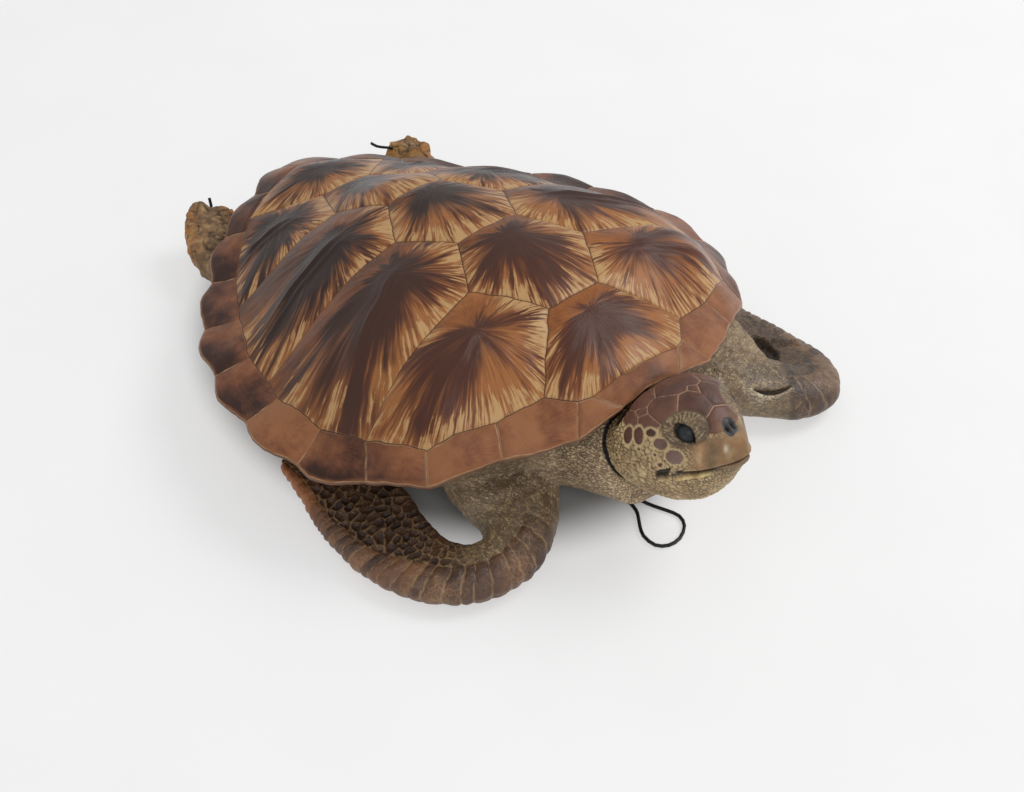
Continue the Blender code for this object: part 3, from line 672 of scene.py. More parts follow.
def under_height(plan):
    """Height of the shell's underside where it turns flat."""
    inner = towards_spine(plan, UNDER_INSET)
    inner[:, 0] = np.where(plan[:, 1] < 0, np.maximum(np.abs(inner[:, 0]), NECK_ARCH_HALF),
                           inner[:, 0])
    return dome.height(inner) - UNDER_DROP


def boundary_ring(bm):
    """Vertices of the one open edge, in order round it."""
    edge = next(e for e in bm.edges if e.is_boundary)
    first, here = edge.verts
    ring = [first]
    while here != first:
        ring.append(here)
        edge = next(e for e in here.link_edges if e.is_boundary and e != edge)
        here = edge.other_vert(here)
    return ring


def shell_relief(plan, share, edge, number, plates):
    """How far the plates' faces stand above the bare dome."""
    rise = np.zeros(len(plan))
    centres = np.array([p.centre for p in plates], float)[number]
    lean = np.array([p.lean for p in plates], float)[number]
    kinds = np.array([list(BULGE).index(p.kind) for p in plates])[number]
    heights = np.array(list(BULGE.values()))[kinds]
    rise += heights * (1 - share ** 2.4)
    rise -= SEAM_DEPTH * (1 - ease(edge, 0.0, 0.75))
    out = plan - centres
    turn = np.arctan2(out[:, 1], out[:, 0])
    fan = np.stack([np.cos(turn), np.sin(turn), number * 3.7 + share * 0.6], axis=1)
    ribs = ripple(fan, 0.16, 2, 5.0)
    big = kinds <= 1
    inside = ease(share, 0.12, 0.45) * ease(edge, 0.0, 5.0)
    rise += np.where(big, 0.20 * ribs * inside, 0.0)
    side = np.sign(centres[:, 0])
    outward = side * out[:, 0]
    bend = 2.2 * ripple(np.column_stack([outward, number * 9.0, 0 * share]), 18.0, 2, 2.0)
    across = (out[:, 1] - lean * outward + bend) / np.hypot(1, lean)
    length = ease(outward, -9, 6) * ease(share, 1.0, 0.55)
    for offset, width, height in RIB_RIDGES:
        ridge = bell(across + offset, width) * length
        rise += np.where(kinds == 0, height * ridge, 0.0)
    soft = ripple(np.column_stack([plan, np.zeros(len(plan))]), 26.0, 2, 1.0)
    fine = ripple(np.column_stack([plan, np.zeros(len(plan))]), 7.0, 2, 4.0)
    rise += (0.55 * soft + 0.10 * fine) * ease(edge, 0.0, 6.0)
    return rise


def on_dome(plan, rise):
    """Places that stand off the bare dome by rise, square to it."""
    height = dome.height(plan)
    slope_x = (dome.height(plan + (SLOPE_STEP, 0)) - height) / SLOPE_STEP
    slope_y = (dome.height(plan + (0, SLOPE_STEP)) - height) / SLOPE_STEP
    upright = np.stack([-slope_x, -slope_y, np.ones(len(plan))], axis=1)
    upright /= np.linalg.norm(upright, axis=1, keepdims=True)
    return np.column_stack([plan, height]) + upright * rise[:, None]


def rim_lift(plan):
    """How far the free edge turns up in the middle of each marginal plate."""
    lift = np.zeros(len(plan))
    for index in range(4, 13):
        first, last = CORNERS["rim%d" % (index - 1)], CORNERS["rim%d" % index]
        way = np.array([last[0] - first[0], last[1] - first[1]])
        along = np.column_stack([np.abs(plan[:, 0]) - first[0], plan[:, 1] - first[1]]) @ way
        share = np.clip(along / (way @ way), 0, 1)
        lift = np.maximum(lift, RIM_LIFT * np.sin(math.pi * share) ** 1.2)
    return lift


def turn_under(bm):
    """Round the free edge and close the shell below."""
    ring = boundary_ring(bm)
    edge_places = np.array([v.co for v in ring])
    inward = towards_spine(edge_places[:, :2], 1.0) - edge_places[:, :2]
    for inset, drop in RIM_PROFILE:
        points = np.column_stack([edge_places[:, :2] + inward * inset, edge_places[:, 2] - drop])
        ring = next_ring(bm, ring, points)
    goal = np.column_stack([towards_spine(edge_places[:, :2], UNDER_INSET),
                            under_height(edge_places[:, :2])])
    for part in UNDER_STEPS:
        ring = next_ring(bm, ring, points + (goal - points) * part)
    deeper = np.column_stack([towards_spine(edge_places[:, :2], FAR_IN), goal[:, 2]])
    ring = next_ring(bm, ring, goal + (deeper - goal) * 0.5)
    ring = next_ring(bm, ring, deeper)
    cap = bm.faces.new(ring)
    bmesh.ops.triangulate(bm, faces=[cap])


def keep_fans(bm, plates, plate_layer, top_faces):
    """Store at each face corner which way the streaks run, and its plate's own values."""
    fan_layer = bm.loops.layers.float_vector.new("fan")
    own_layer = bm.loops.layers.float_vector.new("plate")
    for face in bm.faces:
        if face not in top_faces:
            face.material_index = 1
            continue
        plate = plates[face[plate_layer]]
        centre = Vector(plate.centre)
        side = math.copysign(1, centre.x) if centre.x else 0
        fallback = face.calc_center_median().xy - centre
        for loop in face.loops:
            out = loop.vert.co.xy - centre
            out = (out if out.length > 0.3 else fallback).normalized()
            aside = abs(loop.vert.co.x) - abs(centre.x)
            behind = min(loop.vert.co.y - start - slope * aside for start, slope in plate.band) / 10
            loop[fan_layer] = (out.x, out.y, behind)
            lean_reach = 0 if KINDS[plate.kind] else SIDE_REACH * side * out.x
            loop[own_layer] = (KINDS[plate.kind], face[plate_layer] * 1.7,
                               plate.reach + lean_reach)


def build_carapace(horn, shaded_under_horn):
    """Upper shell: plates grown on the dome, scalloped rim and closed underside."""
    bm = bmesh.new()
    share_layer = bm.verts.layers.float.new("share")
    edge_layer = bm.verts.layers.float.new("edge")
    plate_layer = bm.faces.layers.int.new("number")
    plates = shell_plates()
    for number, plate in enumerate(plates):
        grow_plate(bm, number, plate, share_layer, edge_layer, plate_layer)
    bmesh.ops.remove_doubles(bm, verts=bm.verts, dist=0.05)
    plan = place_of(bm)[:, :2]
    flat = np.column_stack([plan, np.zeros(len(plan))])
    plan = plan + SEAM_WANDER * np.stack([ripple(flat, 7.0, 2, 3.0), ripple(flat, 7.0, 2, 8.0)], 1)
    share = np.array([v[share_layer] for v in bm.verts])
    edge = np.array([v[edge_layer] for v in bm.verts])
    owner = np.array([v.link_faces[0][plate_layer] for v in bm.verts])
    places = on_dome(plan, shell_relief(plan, share, edge, owner, plates))
    is_rim = np.array([v.is_boundary for v in bm.verts])
    rim_plan = plan[is_rim]
    places[is_rim, :2] = rim_plan
    gap = np.array([np.min(np.hypot(rim_plan[:, 0] - x, rim_plan[:, 1] - y)) for x, y in plan])
    places[:, 2] += rim_lift(plan) * bell(gap, RIM_LIFT_REACH)
    move_to(bm, places)
    keep_values(bm, "free_edge", gap)
    top_faces = set(bm.faces)
    turn_under(bm)
    keep_fans(bm, plates, plate_layer, top_faces)
    return finish_piece("carapace_horn_plates", bm, [horn, shaded_under_horn],
                        ["carapace"])


def horn_finish():
    """Varnished plates: dark middles, ragged pale streaks and a plain orange rear band."""
    f = Finish("carapace_horn")
    fan_x, fan_y, behind = f.parts(f.attribute("fan"))
    marginal, seed, reach = f.parts(f.attribute("plate"))
    share, edge, free = f.values("share", "edge", "free_edge")
    place = f.object_place()
    side_place, rear_place, _ = f.parts(place)
    wander = f.times(f.minus(f.noise(place, 60.0, 2), 0.5), 0.05)
    x = f.plus(fan_x, wander)
    y = f.minus(fan_y, wander)

    def rays(fineness, run, detail):
        """Noise drawn out along the streaks, -0.5 to 0.5."""
        deep = f.total((share, run), (seed, 5.3))
        spread = f.vector(f.times(x, fineness), f.times(y, fineness), deep)
        return f.minus(f.noise(spread, 1.0, detail, 0.5), 0.5)

    # noises, from the broadest rays to single hairs
    broad = rays(2.4, 0.7, 2.0)
    middle = rays(8.0, 1.5, 1.0)
    fine = rays(27.0, 2.8, 1.5)
    thorn = f.absolute(rays(19.0, 2.4, 0.0))
    hair = rays(66.0, 4.0, 2.0)
    blotch = f.noise(place, 55.0, 4)
    flake = f.noise(place, 210.0, 3)
    cloud = f.noise(place, 24.0, 2)
    forward = f.step(rear_place, 0.02, -0.10)
    # dark middles that turn warm outwards
    outer = f.total((f.step(share, 0.45, 0.97), 0.86), (1.0, 0.14))
    combing = f.total((f.step(share, 0.28, 0.80), 0.75), (1.0, 0.25))
    combed = f.times(f.total((middle, 1.1), (fine, 1.0), (hair, 0.35)), combing)
    inner = f.total((share, 1.0), (broad, 1.5), (combed, 1.0), (cloud, 0.75), (blotch, 0.25),
                    (reach, -0.75), (forward, 0.10), (1.0, 0.10))
    dark = f.mix(forward, tint(48, 35, 30), tint(76, 46, 36))
    lift = f.ramp(inner, [
        (0.24, (0.0, 0.0, 0.0)), (0.50, (0.5, 0.5, 0.5)), (0.76, (1.0, 1.0, 1.0)),
    ])
    warm = f.ramp(f.total((inner, 0.6), (cloud, 0.9), (fine, 0.5), (1.0, -0.25)), [
        (0.26, tint(86, 48, 32)), (0.46, tint(120, 72, 44)), (0.70, tint(152, 98, 56)),
    ])
    colour = f.mix(lift, dark, warm)
    # ragged pale streaks that come in from the seams
    rough_rays = f.total((broad, 1.3), (middle, 1.3), (fine, 2.4), (thorn, 1.5), (hair, 0.7),
                         (flake, 0.5), (1.0, -0.25))
    ragged = f.math("MULTIPLY_ADD", rough_rays, outer, f.total((share, 1.0), (reach, -1.0)))
    ragged = f.plus(ragged, 0.03)
    tan = f.ramp(f.total((ragged, 1.2), (hair, 0.9), (flake, 0.6), (1.0, -0.20)), [
        (0.06, tint(132, 86, 52)), (0.24, tint(160, 118, 76)), (0.54, tint(184, 147, 101)),
    ])
    colour = f.cover(colour, tan, f.step(ragged, -0.01, 0.05), 0.92)
    # plain orange band at the rear of each plate
    band = f.ramp(f.total((blotch, 0.8), (forward, 0.25), (hair, 0.3), (1.0, -0.05)), [
        (0.30, tint(80, 48, 33)), (0.50, tint(122, 72, 40)), (0.72, tint(158, 98, 50)),
    ])
    rear = f.total((behind, 1.0), (broad, 1.6), (middle, 0.9))
    rear_share = f.times(f.step(rear, -0.18, 0.22), f.step(share, 0.02, 0.30))
    colour = f.cover(colour, band, rear_share, 0.94)
    # plates of the rim: blotchy, darkest at their front outer corners
    patchy = f.noise(f.stretch(place, (1.0, 1.0, 0.4)), 36.0, 3, 0.5)
    which_side = f.total((f.step(side_place, -0.001, 0.001), 2.0), (1.0, -1.0))
    outward = f.times(x, which_side)
    to_front = f.total((outward, 0.7), (y, -0.7), (patchy, 1.6), (1.0, -0.8))
    front_rim = f.times(share, to_front)
    spot = f.times(f.step(front_rim, 0.15, 0.85), f.step(free, 19.0, 8.0))
    spot = f.times(spot, f.total((reach, -0.5), (1.0, 0.45)))
    rim_tone = f.total((patchy, 1.1), (blotch, 0.5), (reach, 0.60), (hair, 0.35), (flake, 0.35),
                    (spot, -1.2), (1.0, -0.71))
    plain = f.ramp(rim_tone, [
        (0.24, tint(56, 35, 28)), (0.42, tint(90, 55, 40)), (0.60, tint(120, 75, 51)),
        (0.80, tint(146, 97, 64)),
    ])
    colour = f.mix(marginal, colour, plain)
    rim_share = f.step(f.total((free, 1.0), (blotch, 3.0)), 3.4, 1.7)
    colour = f.cover(colour, tint(140, 88, 54), rim_share, 0.6)
    # pale fringes and a dark line along the seams
    fringe = f.total((edge, 1.0), (blotch, 1.2), (hair, 1.2))
    pale = f.times(f.step(fringe, 1.5, 0.7), f.total((marginal, 0.10), (1.0, 0.30)))
    colour = f.mix(pale, colour, tint(158, 116, 80))
    chalk = f.step(f.total((edge, 1.0), (flake, 1.4)), 1.35, 0.80)
    chalk = f.times(chalk, f.times(marginal, f.step(free, 14.0, 11.0)))
    colour = f.cover(colour, tint(184, 146, 112), chalk, 0.75)
    line = f.times(f.step(edge, 0.34, 0.12), f.total((marginal, -0.40), (1.0, 0.90)))
    colour = f.mix(line, colour, tint(44, 30, 22))
    dust = f.noise(place, 900.0, 3)
    height = f.total((fine, 0.5), (hair, 0.35), (middle, 0.5), (dust, 0.12))
    gloss = f.total((blotch, 0.18), (dust, 0.10), (1.0, 0.20))
    f.surface(colour, gloss, f.bump(height, 0.30, 0.5), Specular_IOR_Level=0.2)
    return f


def underside_shade_finish():
    f = Finish("carapace_underside_painted_shade")
    blotch = f.noise(f.object_place(), 60.0, 4)
    # painted shade: the underside is coloured darker than the horn's own brown
    colour = f.ramp(blotch, [(0.3, tint(72, 44, 28)), (0.7, tint(118, 78, 48))])
    f.surface(colour, 0.5, f.bump(f.noise(f.object_place(), 500.0, 3), 0.15, 0.5))
    return f


# ================================================================ closed sheets round a limb
TUBE_NUDGE = 0.002           # how far to each side a tube's slope is read


class Tube:
    """A closed skin whose places are read from along (0 to 1) and round (0 to 2 pi)."""

    def __init__(self, along_count, around_count, shape):
        self.bm = bmesh.new()
        bmesh.ops.create_grid(self.bm, x_segments=along_count, y_segments=around_count, size=0.5)
        flat = place_of(self.bm)
        self.along = flat[:, 0] + 0.5
        self.around = (flat[:, 1] + 0.5) * 2 * math.pi
        self.places = shape(self.along, self.around)
        ahead = shape(np.clip(self.along + TUBE_NUDGE, 0, 1), self.around)
        ahead = ahead - shape(np.clip(self.along - TUBE_NUDGE, 0, 1), self.around)
        across = shape(self.along, self.around + TUBE_NUDGE)
        across = across - shape(self.along, self.around - TUBE_NUDGE)
        normal = np.cross(ahead, across)
        length = np.linalg.norm(normal, axis=1, keepdims=True)
        self.normals = normal / np.maximum(length, 1e-9)
        outward = self.places - shape(self.along, self.around + math.pi)
        if np.sum(self.normals * outward) < 0:
            self.normals = -self.normals

    def keep(self, **layers):
        """Store numbers at the vertices, each under its name."""
        for name, values in layers.items():
            keep_values(self.bm, name, values)

    def close(self, rise):
        """Move the skin out by rise, join its long edge and cap its two ends."""
        move_to(self.bm, self.places + self.normals * rise[:, None])
        bmesh.ops.remove_doubles(self.bm, verts=self.bm.verts, dist=0.02)
        ends = [e for e in self.bm.edges if e.is_boundary]
        if ends:
            bmesh.ops.holes_fill(self.bm, edges=ends, sides=0)
        return self.bm


def along_table(table, share):
    """Smooth curve through the rows of a table, share 0 at the first, 1 at the last."""
    table = np.asarray(table, float)
    last = len(table) - 1
    s = np.clip(np.asarray(share, float) * last, 0, last - 1e-9)
    i = s.astype(int)
    t = (s - i)[:, None]
    p0, p1, p2, p3 = (table[np.clip(i + k, 0, last)] for k in (-1, 0, 1, 2))
    return 0.5 * (2 * p1 + (p2 - p0) * t + (2 * p0 - 5 * p1 + 4 * p2 - p3) * t ** 2
                  + (3 * p1 - p0 - 3 * p2 + p3) * t ** 3)


CELLS_AT_ONCE = 4000         # places, to keep the tables of distances small


def cell_net(places, centres, sizes=None):
    """Which cell each place lies in, and its distance from the cell's border."""
    centres = np.asarray(centres, float)
    weights = np.zeros(len(centres)) if sizes is None else np.asarray(sizes, float) ** 2
    best = np.empty(len(places))
    owner = np.empty(len(places), int)
    for start in range(0, len(places), CELLS_AT_ONCE):
        part = slice(start, start + CELLS_AT_ONCE)
        chunk = places[part]
        power = ((chunk[:, None] - centres[None]) ** 2).sum(axis=2) - weights
        order = np.argpartition(power, 1, axis=1)[:, :2]
        pair = np.take_along_axis(power, order, axis=1)
        first = np.where(pair[:, 0] <= pair[:, 1], order[:, 0], order[:, 1])
        second = np.where(pair[:, 0] <= pair[:, 1], order[:, 1], order[:, 0])
        apart = np.linalg.norm(centres[first] - centres[second], axis=1)
        best[part] = np.abs(pair[:, 1] - pair[:, 0]) / (2 * np.maximum(apart, 1e-6))
        owner[part] = first
    return owner, best


# ================================================================ limbs
# centre x, y, z, half width, half thickness, roll in degrees (front edge down)
FRONT_RIGHT = [
    (-40.5, -81.4, 23, 32.6, 18, 0), (-47.7, -97.2, 20, 29.8, 16.5, 0),
    (-52.2, -111.1, 17.5, 25.8, 14.5, 0), (-56.5, -122.7, 15.5, 22.2, 13, 0),
    (-61.1, -130.9, 13.6, 18.5, 12, 0), (-68.5, -138, 12, 15.6, 11, 0),
    (-79, -141.7, 10.8, 14, 10, 1), (-90.9, -139.3, 10, 14.5, 9, 3),
    (-100.6, -132, 9.6, 15.8, 8, 5), (-107, -121.3, 9.4, 17.2, 7.2, 6),
    (-110, -108.8, 9.6, 19, 6.6, 7), (-110.5, -95, 10, 20.5, 6.2, 7),
    (-109.2, -82, 10.6, 21.8, 5.8, 6), (-109, -69, 11.6, 21.6, 5.4, 4),
    (-111, -56, 12.8, 18.4, 4.8, 1), (-114.5, -45, 14, 13, 4.2, -2),
    (-118, -35.5, 15, 7.6, 3.2, -4), (-120.5, -28.5, 15.6, 2.2, 1.6, -4),
]
FRONT_LEFT = [
    (42, -82, 24, 31, 18, 0), (55, -99, 22.5, 27, 16, 0),
    (68, -115, 19.6, 23, 14, 0), (80, -128, 17, 20, 13, 0),
    (91.5, -139.5, 14.5, 17.5, 12, 0), (102.6, -149.7, 12.5, 17.3, 11, 0),
    (113.6, -152.2, 11, 16.8, 10, 1), (120.7, -145.4, 10.2, 15.6, 9, 3),
    (123.5, -135.6, 9.8, 15.1, 8, 5), (123.3, -124.5, 9.6, 15.2, 7.2, 7),
    (122.5, -113.1, 9.8, 15.9, 6.6, 8), (120.8, -101.5, 10.2, 16.4, 6.2, 8),
    (118.4, -88.5, 10.8, 16.6, 5.8, 7), (116.8, -75.5, 11.8, 15.8, 5.4, 5),
    (116.4, -62.5, 13, 13.4, 4.8, 2), (116.6, -51, 14.2, 9.6, 4.2, -2),
    (117, -42, 15.2, 5.4, 3.2, -4), (117.4, -36, 15.8, 1.8, 1.6, -4),
]
FRONT_JOINT = 3              # section where a front flipper leaves the body
FRONT_MESH, HIND_MESH, ROOT_MESH = (230, 132), (150, 132), (24, 48)     # points along, round
BAND_SHARES = (0.0, 0.30, 0.42, 0.56, 0.72, 0.86, 1.0)      # where along the flipper
BAND_EDGES = (0.15, 0.12, 0.12, 0.50, 0.72, 0.66, 0.40)     # how far in the front plates reach
PLATE_LENGTHS, PLATE_COUNT = (3.4, 6.6), 60
NET_START, NET_DROPPED = 18.0, 0.14     # where the small scales begin, share left out
TEAR_ENDS = ((79, -145.2), (96.6, -155.3))
TEAR_BOW = 2.3
TEAR_HALF_WIDTH = 1.0
FOLD_ENDS = ((118.8, -115.8), (129.6, -129.7))
# the hollow under the left web, carved and given painted shadow
HOLLOW_PLACE = (115.2, -120.5)
HOLLOW_WAY = (-0.22, -0.975)
HOLLOW_HALF = (11.0, 4.4)
HIND_RIGHT = [
    (-37, 84, 20, 16, 10, 0), (-45.5, 98, 19, 17.4, 9.5, 0),
    (-51.8, 109, 18, 19.4, 9.4, -2), (-54.6, 120, 18.4, 19.6, 8.8, -5),
    (-54.2, 131, 19.6, 18.2, 8, -8), (-51.6, 140.5, 21.4, 16.6, 7.2, -9),
    (-48.6, 148, 23.6, 15, 6.4, -8), (-46.2, 154, 25.6, 12, 5.4, -6),
    (-44.8, 158, 27, 6.5, 3.4, -4),
]
HIND_LEFT = [
    (40, 84, 21, 16, 10, 0), (49.5, 96, 20, 16.5, 9.5, 0),
    (58.5, 107, 19.5, 17.5, 9, -4), (65.5, 116, 20, 17.6, 8.4, -8),
    (71, 124, 21.5, 16.6, 7.6, -10), (75.6, 131, 23.5, 14.2, 6.8, -10),
    (79.4, 137, 25.4, 10.6, 5.6, -8), (82, 141, 26.8, 6.6, 4.2, -6),
    (83.4, 143.6, 27.6, 2.6, 2.2, -4),
]
HIND_JOINT = 2
# lumps of the hind flippers: x, y, z, height, width; and pits: x, y, z, width
LOBES_RIGHT = [(-49.7, 157.5, 29.5, 3.4, 4.5), (-40.4, 149.6, 30, 3.6, 5.0), (-60, 140, 27, 1.2, 6)]
PITS_RIGHT = [(-46.4, 139.7, 24.9, 1.5), (-46, 153.5, 30, 3.0)]
LOBES_LEFT = [(86.5, 125.5, 31, 2.2, 4.0), (72, 137, 27, 1.5, 5.0)]
PITS_LEFT = [(83.0, 128.4, 31, 1.6)]
LIMB_SQUARENESS = 0.85
BLADE_DISH = 2.2
EDGE_SWELL = 0.35
FLOOR_GAP = 0.4
JOINT_OVERLAP = 0.45         # of a section, how far skin and limb share one surface


def limb_shape(sections, first, last):
    """Place on a limb between two section numbers, from along and round, above the floor."""
    table = np.asarray(sections, float)
    count = len(table) - 1
    is_front = table[-1, 1] < 0
    side = math.copysign(1, table[0, 0])

    def shape(along, around):
        where = (first + (last - first) * along) / count
        row = along_table(table, where)
        ahead = along_table(table, np.clip(where + 0.012, 0, 1))
        ahead = (ahead - along_table(table, np.clip(where - 0.012, 0, 1)))[:, :2]
        ahead /= np.maximum(np.linalg.norm(ahead, axis=1, keepdims=True), 1e-9)
        leading = np.column_stack([ahead[:, 1], -ahead[:, 0], np.zeros(len(row))]) * side
        tilt = np.radians(row[:, 5])[:, None]
        up = np.array([[0, 0, 1.0]])
        wide = leading * np.cos(tilt) - up * np.sin(tilt)
        thick = up * np.cos(tilt) + leading * np.sin(tilt)
        number = where * count
        blade = np.clip((number - 6) / 4, 0, 1) if is_front else np.clip(number / 4, 0, 1)
        cosine, sine = np.cos(around), np.sin(around)
        u = np.sign(cosine) * np.abs(cosine) ** LIMB_SQUARENESS
        close = np.sqrt(np.clip(1 - ((number - count + 0.5) / 0.5), 0, 1))
        close = np.where(number > count - 0.5, np.maximum(close, 0.02), 1.0)
        w = sine * row[:, 4] * (1 + EDGE_SWELL * u * blade) * close
        hollow = BLADE_DISH * blade * (1 - u * u) * np.where(w > 0, 1.0, 0.4)
        point = row[:, :3] + wide * (u * row[:, 3] * close)[:, None]
        point = point + thick * (w - hollow)[:, None]
        above = point[:, 2] - FLOOR_GAP - 1.0
        point[:, 2] = np.where(above < 0, FLOOR_GAP + np.exp(np.minimum(above, 0.0)), point[:, 2])
        return point

    return shape


def limb_length(sections, first, last, along):
    """Distance in mm from the root along the limb's middle line."""
    table = np.asarray(sections, float)
    shares = np.linspace(0, 1, 400)
    line = along_table(table, (first + (last - first) * shares) / (len(table) - 1))[:, :3]
    reach = np.concatenate([[0], np.cumsum(np.linalg.norm(np.diff(line, axis=0), axis=1))])
    return np.interp(along, shares, reach), reach[-1]


def net_cells(length, half_width_at, rng, long_scales):
    """Middles of the small scales on one face, in rows along the flipper."""
    pitch_scale, row_gap = (1.7, 0.20) if long_scales else (1.0, 0.24)
    cells = []
    for number, across in enumerate(np.arange(0.92, -1.0, -row_gap)):
        pitch = (7.6 - 1.1 * number * row_gap / 0.24) if across > -0.4 else 5.0
        pitch = max(pitch, 4.6) * pitch_scale
        reach = NET_START + (number % 2) * pitch / 2
        while reach < length - 3:
            if rng.random() > NET_DROPPED:
                cells.append((reach + rng.uniform(-0.26, 0.26) * pitch,
                              across + rng.uniform(-0.07, 0.07)))
            reach += pitch
    cells = np.array(cells)
    return np.column_stack([cells[:, 0], cells[:, 1] * half_width_at(cells[:, 0])])


def scale_net(length, length_at, u, half, warp, top, seed, long_scales):
    """Distance from the border of the small scales, and a tone for each."""
    order = np.argsort(length_at)

    def half_width_at(reach):
        return np.interp(reach, length_at[order], half[order])

    edge = np.zeros(len(u))
    tone = np.zeros(len(u))
    for face_number, face in enumerate((top, ~top)):
        rng = np.random.default_rng(seed + face_number)
        cells = net_cells(length, half_width_at, rng, long_scales)
        spot_places = np.column_stack([length_at[face] + warp[face], (u * half)[face] + warp[face]])
        owner, border = cell_net(spot_places, cells)
        edge[face] = border
        tone[face] = rng.random(len(cells))[owner]
    return edge, tone


def plate_row(length_at, u, half, warp, seed):
    """Distance from the cracks between the big plates of the front edge, and their tones."""
    rng = np.random.default_rng(seed)
    cracks = np.cumsum(rng.uniform(*PLATE_LENGTHS, PLATE_COUNT))
    slanted = length_at + 0.16 * (1 - u) * half + 0.7 * warp
    place_in = np.searchsorted(cracks, slanted)
    gaps = np.minimum(slanted - np.append(-9, cracks)[place_in], cracks[place_in] - slanted)
    return gaps, rng.random(PLATE_COUNT + 1)[place_in]


def build_front_flipper(name, sections, skin, seed, net_strength):
    """A flipper with big plates on its front edge and a net of small scales behind."""
    first, last = FRONT_JOINT - JOINT_OVERLAP, len(sections) - 1
    tube = Tube(*FRONT_MESH, limb_shape(sections, first, last))
    length_at, length = limb_length(sections, first, last, tube.along)
    table = np.asarray(sections, float)
    half = along_table(table, (first + (last - first) * tube.along) / (len(table) - 1))[:, 3]
    u = np.sign(np.cos(tube.around)) * np.abs(np.cos(tube.around)) ** LIMB_SQUARENESS
    top = np.sin(tube.around) > 0
    share = length_at / length
    band = np.interp(share, BAND_SHARES, BAND_EDGES)
    warp = 0.8 * ripple(tube.places, 5.0, 2, seed)
    in_band = (u - band) * half + warp > 0
    gaps, plate_tone = plate_row(length_at, u, half, warp, seed)
    edge, tone = scale_net(length, length_at, u, half, warp, top, seed, net_strength < 0.5)
    to_band = np.abs((u - band) * half + warp)
    edge = np.where(in_band, np.minimum(gaps, to_band + 0.3), np.minimum(edge, to_band + 0.1))
    tone = np.where(in_band, plate_tone, tone)
    plates = in_band.astype(float)
    rough = ripple(tube.places, 3.2, 3, seed + 1.0)
    lumps = ripple(tube.places, 13.0, 2, seed + 2.0)
    if sections is FRONT_RIGHT:
        scaly = np.where(in_band, ease(length_at, 12.0, 28.0), ease(share, 0.24, 0.40))
    else:
        scaly = ease(share + 0.01 * warp, 0.195, 0.225)
    blade = ease(share, 0.35, 0.55)
    net = 0.40 * bell(edge, 0.5) - (0.25 + 0.8 * blade) * ease(edge, 0.4, 1.7)
    net *= ease(u, -0.97, -0.80) * net_strength
    crack = (0.15 + 0.4 * net_strength) * ease(edge, 0.0, 2.2) - 0.35 * bell(edge, 0.3)
    rise = scaly * (net * (1 - plates) + crack * plates) + 0.26 * rough + 0.5 * lumps
    rim = np.abs(u) > 0.985
    rise = np.where(rim, rise + 0.12 * rough, rise)
    tear = np.zeros(len(u))
    fray = np.zeros(len(u))
    if sections is FRONT_LEFT:
        tear, lips, fray, fold = shoulder_damage(tube.places, top)
        hollow = top * under_web(tube.places)
        rise += 0.8 * lips - 2.6 * tear + fold - 3.0 * hollow
        # painted shadow: the hollow under the web takes the tear's dark colour
        tear = np.maximum(tear, 0.95 * hollow)
    rise *= ease(tube.along, 1.0, 0.975)
    tube.keep(edge=edge, tone=tone, plates=plates, scaly=scaly, across=u, reach=share,
              net=np.full(len(u), float(net_strength)), tear=tear, fray=fray)
    return finish_piece(name + "_skin", tube.close(rise), [skin], [name])


def off_line(places, start, way):
    """How far along a line and how far beside it, seen from above."""
    way = way / np.linalg.norm(way)
    out = places[:, :2] - start
    return out @ way, out @ np.array([-way[1], way[0]])


def under_web(places):
    """Share of the hollow between the web's straight edge and the blade, which gets painted shadow.
    """
    along, beside = off_line(places, HOLLOW_PLACE, HOLLOW_WAY)
    return ease((along / HOLLOW_HALF[0]) ** 2 + (beside / HOLLOW_HALF[1]) ** 2, 1.5, 0.2)


def shoulder_damage(places, top):
    """The torn slit and the fold on top of the left front flipper."""
    start, end = np.array(TEAR_ENDS, float)
    span = np.linalg.norm(end - start)
    along, across = off_line(places, start, end - start)
    along = along / span
    across = across + TEAR_BOW * (1 - (2 * along - 1) ** 2)
    inside = top & (along > -0.3) & (along < 1.3)
    opening = TEAR_HALF_WIDTH * np.clip(1 - (2 * along - 1) ** 2, 0, 1) ** 0.6
    tear = inside * ease(np.abs(across), opening + 0.3, opening - 0.3) * (opening > 0.2)
    lips = inside * bell(-across - opening - 0.8, 0.6) * (opening > 0.05)
    from_end = np.hypot((along - 0.08) * span / 5.0, (across + 1.6) / 2.2)
    fray = inside * np.exp(-from_end ** 2) + 0.9 * lips
    start, end = np.array(FOLD_ENDS, float)
    along, beside = off_line(places, start, end - start)
    along = along / np.linalg.norm(end - start)
    kept = top * ease(along, -0.25, 0.0) * ease(along, 1.2, 1.0)
    fold = kept * (1.8 * bell(beside - 1.4, 1.3) - 1.5 * bell(beside + 0.9, 0.9))
    return tear, lips, np.clip(fray, 0, 1), fold


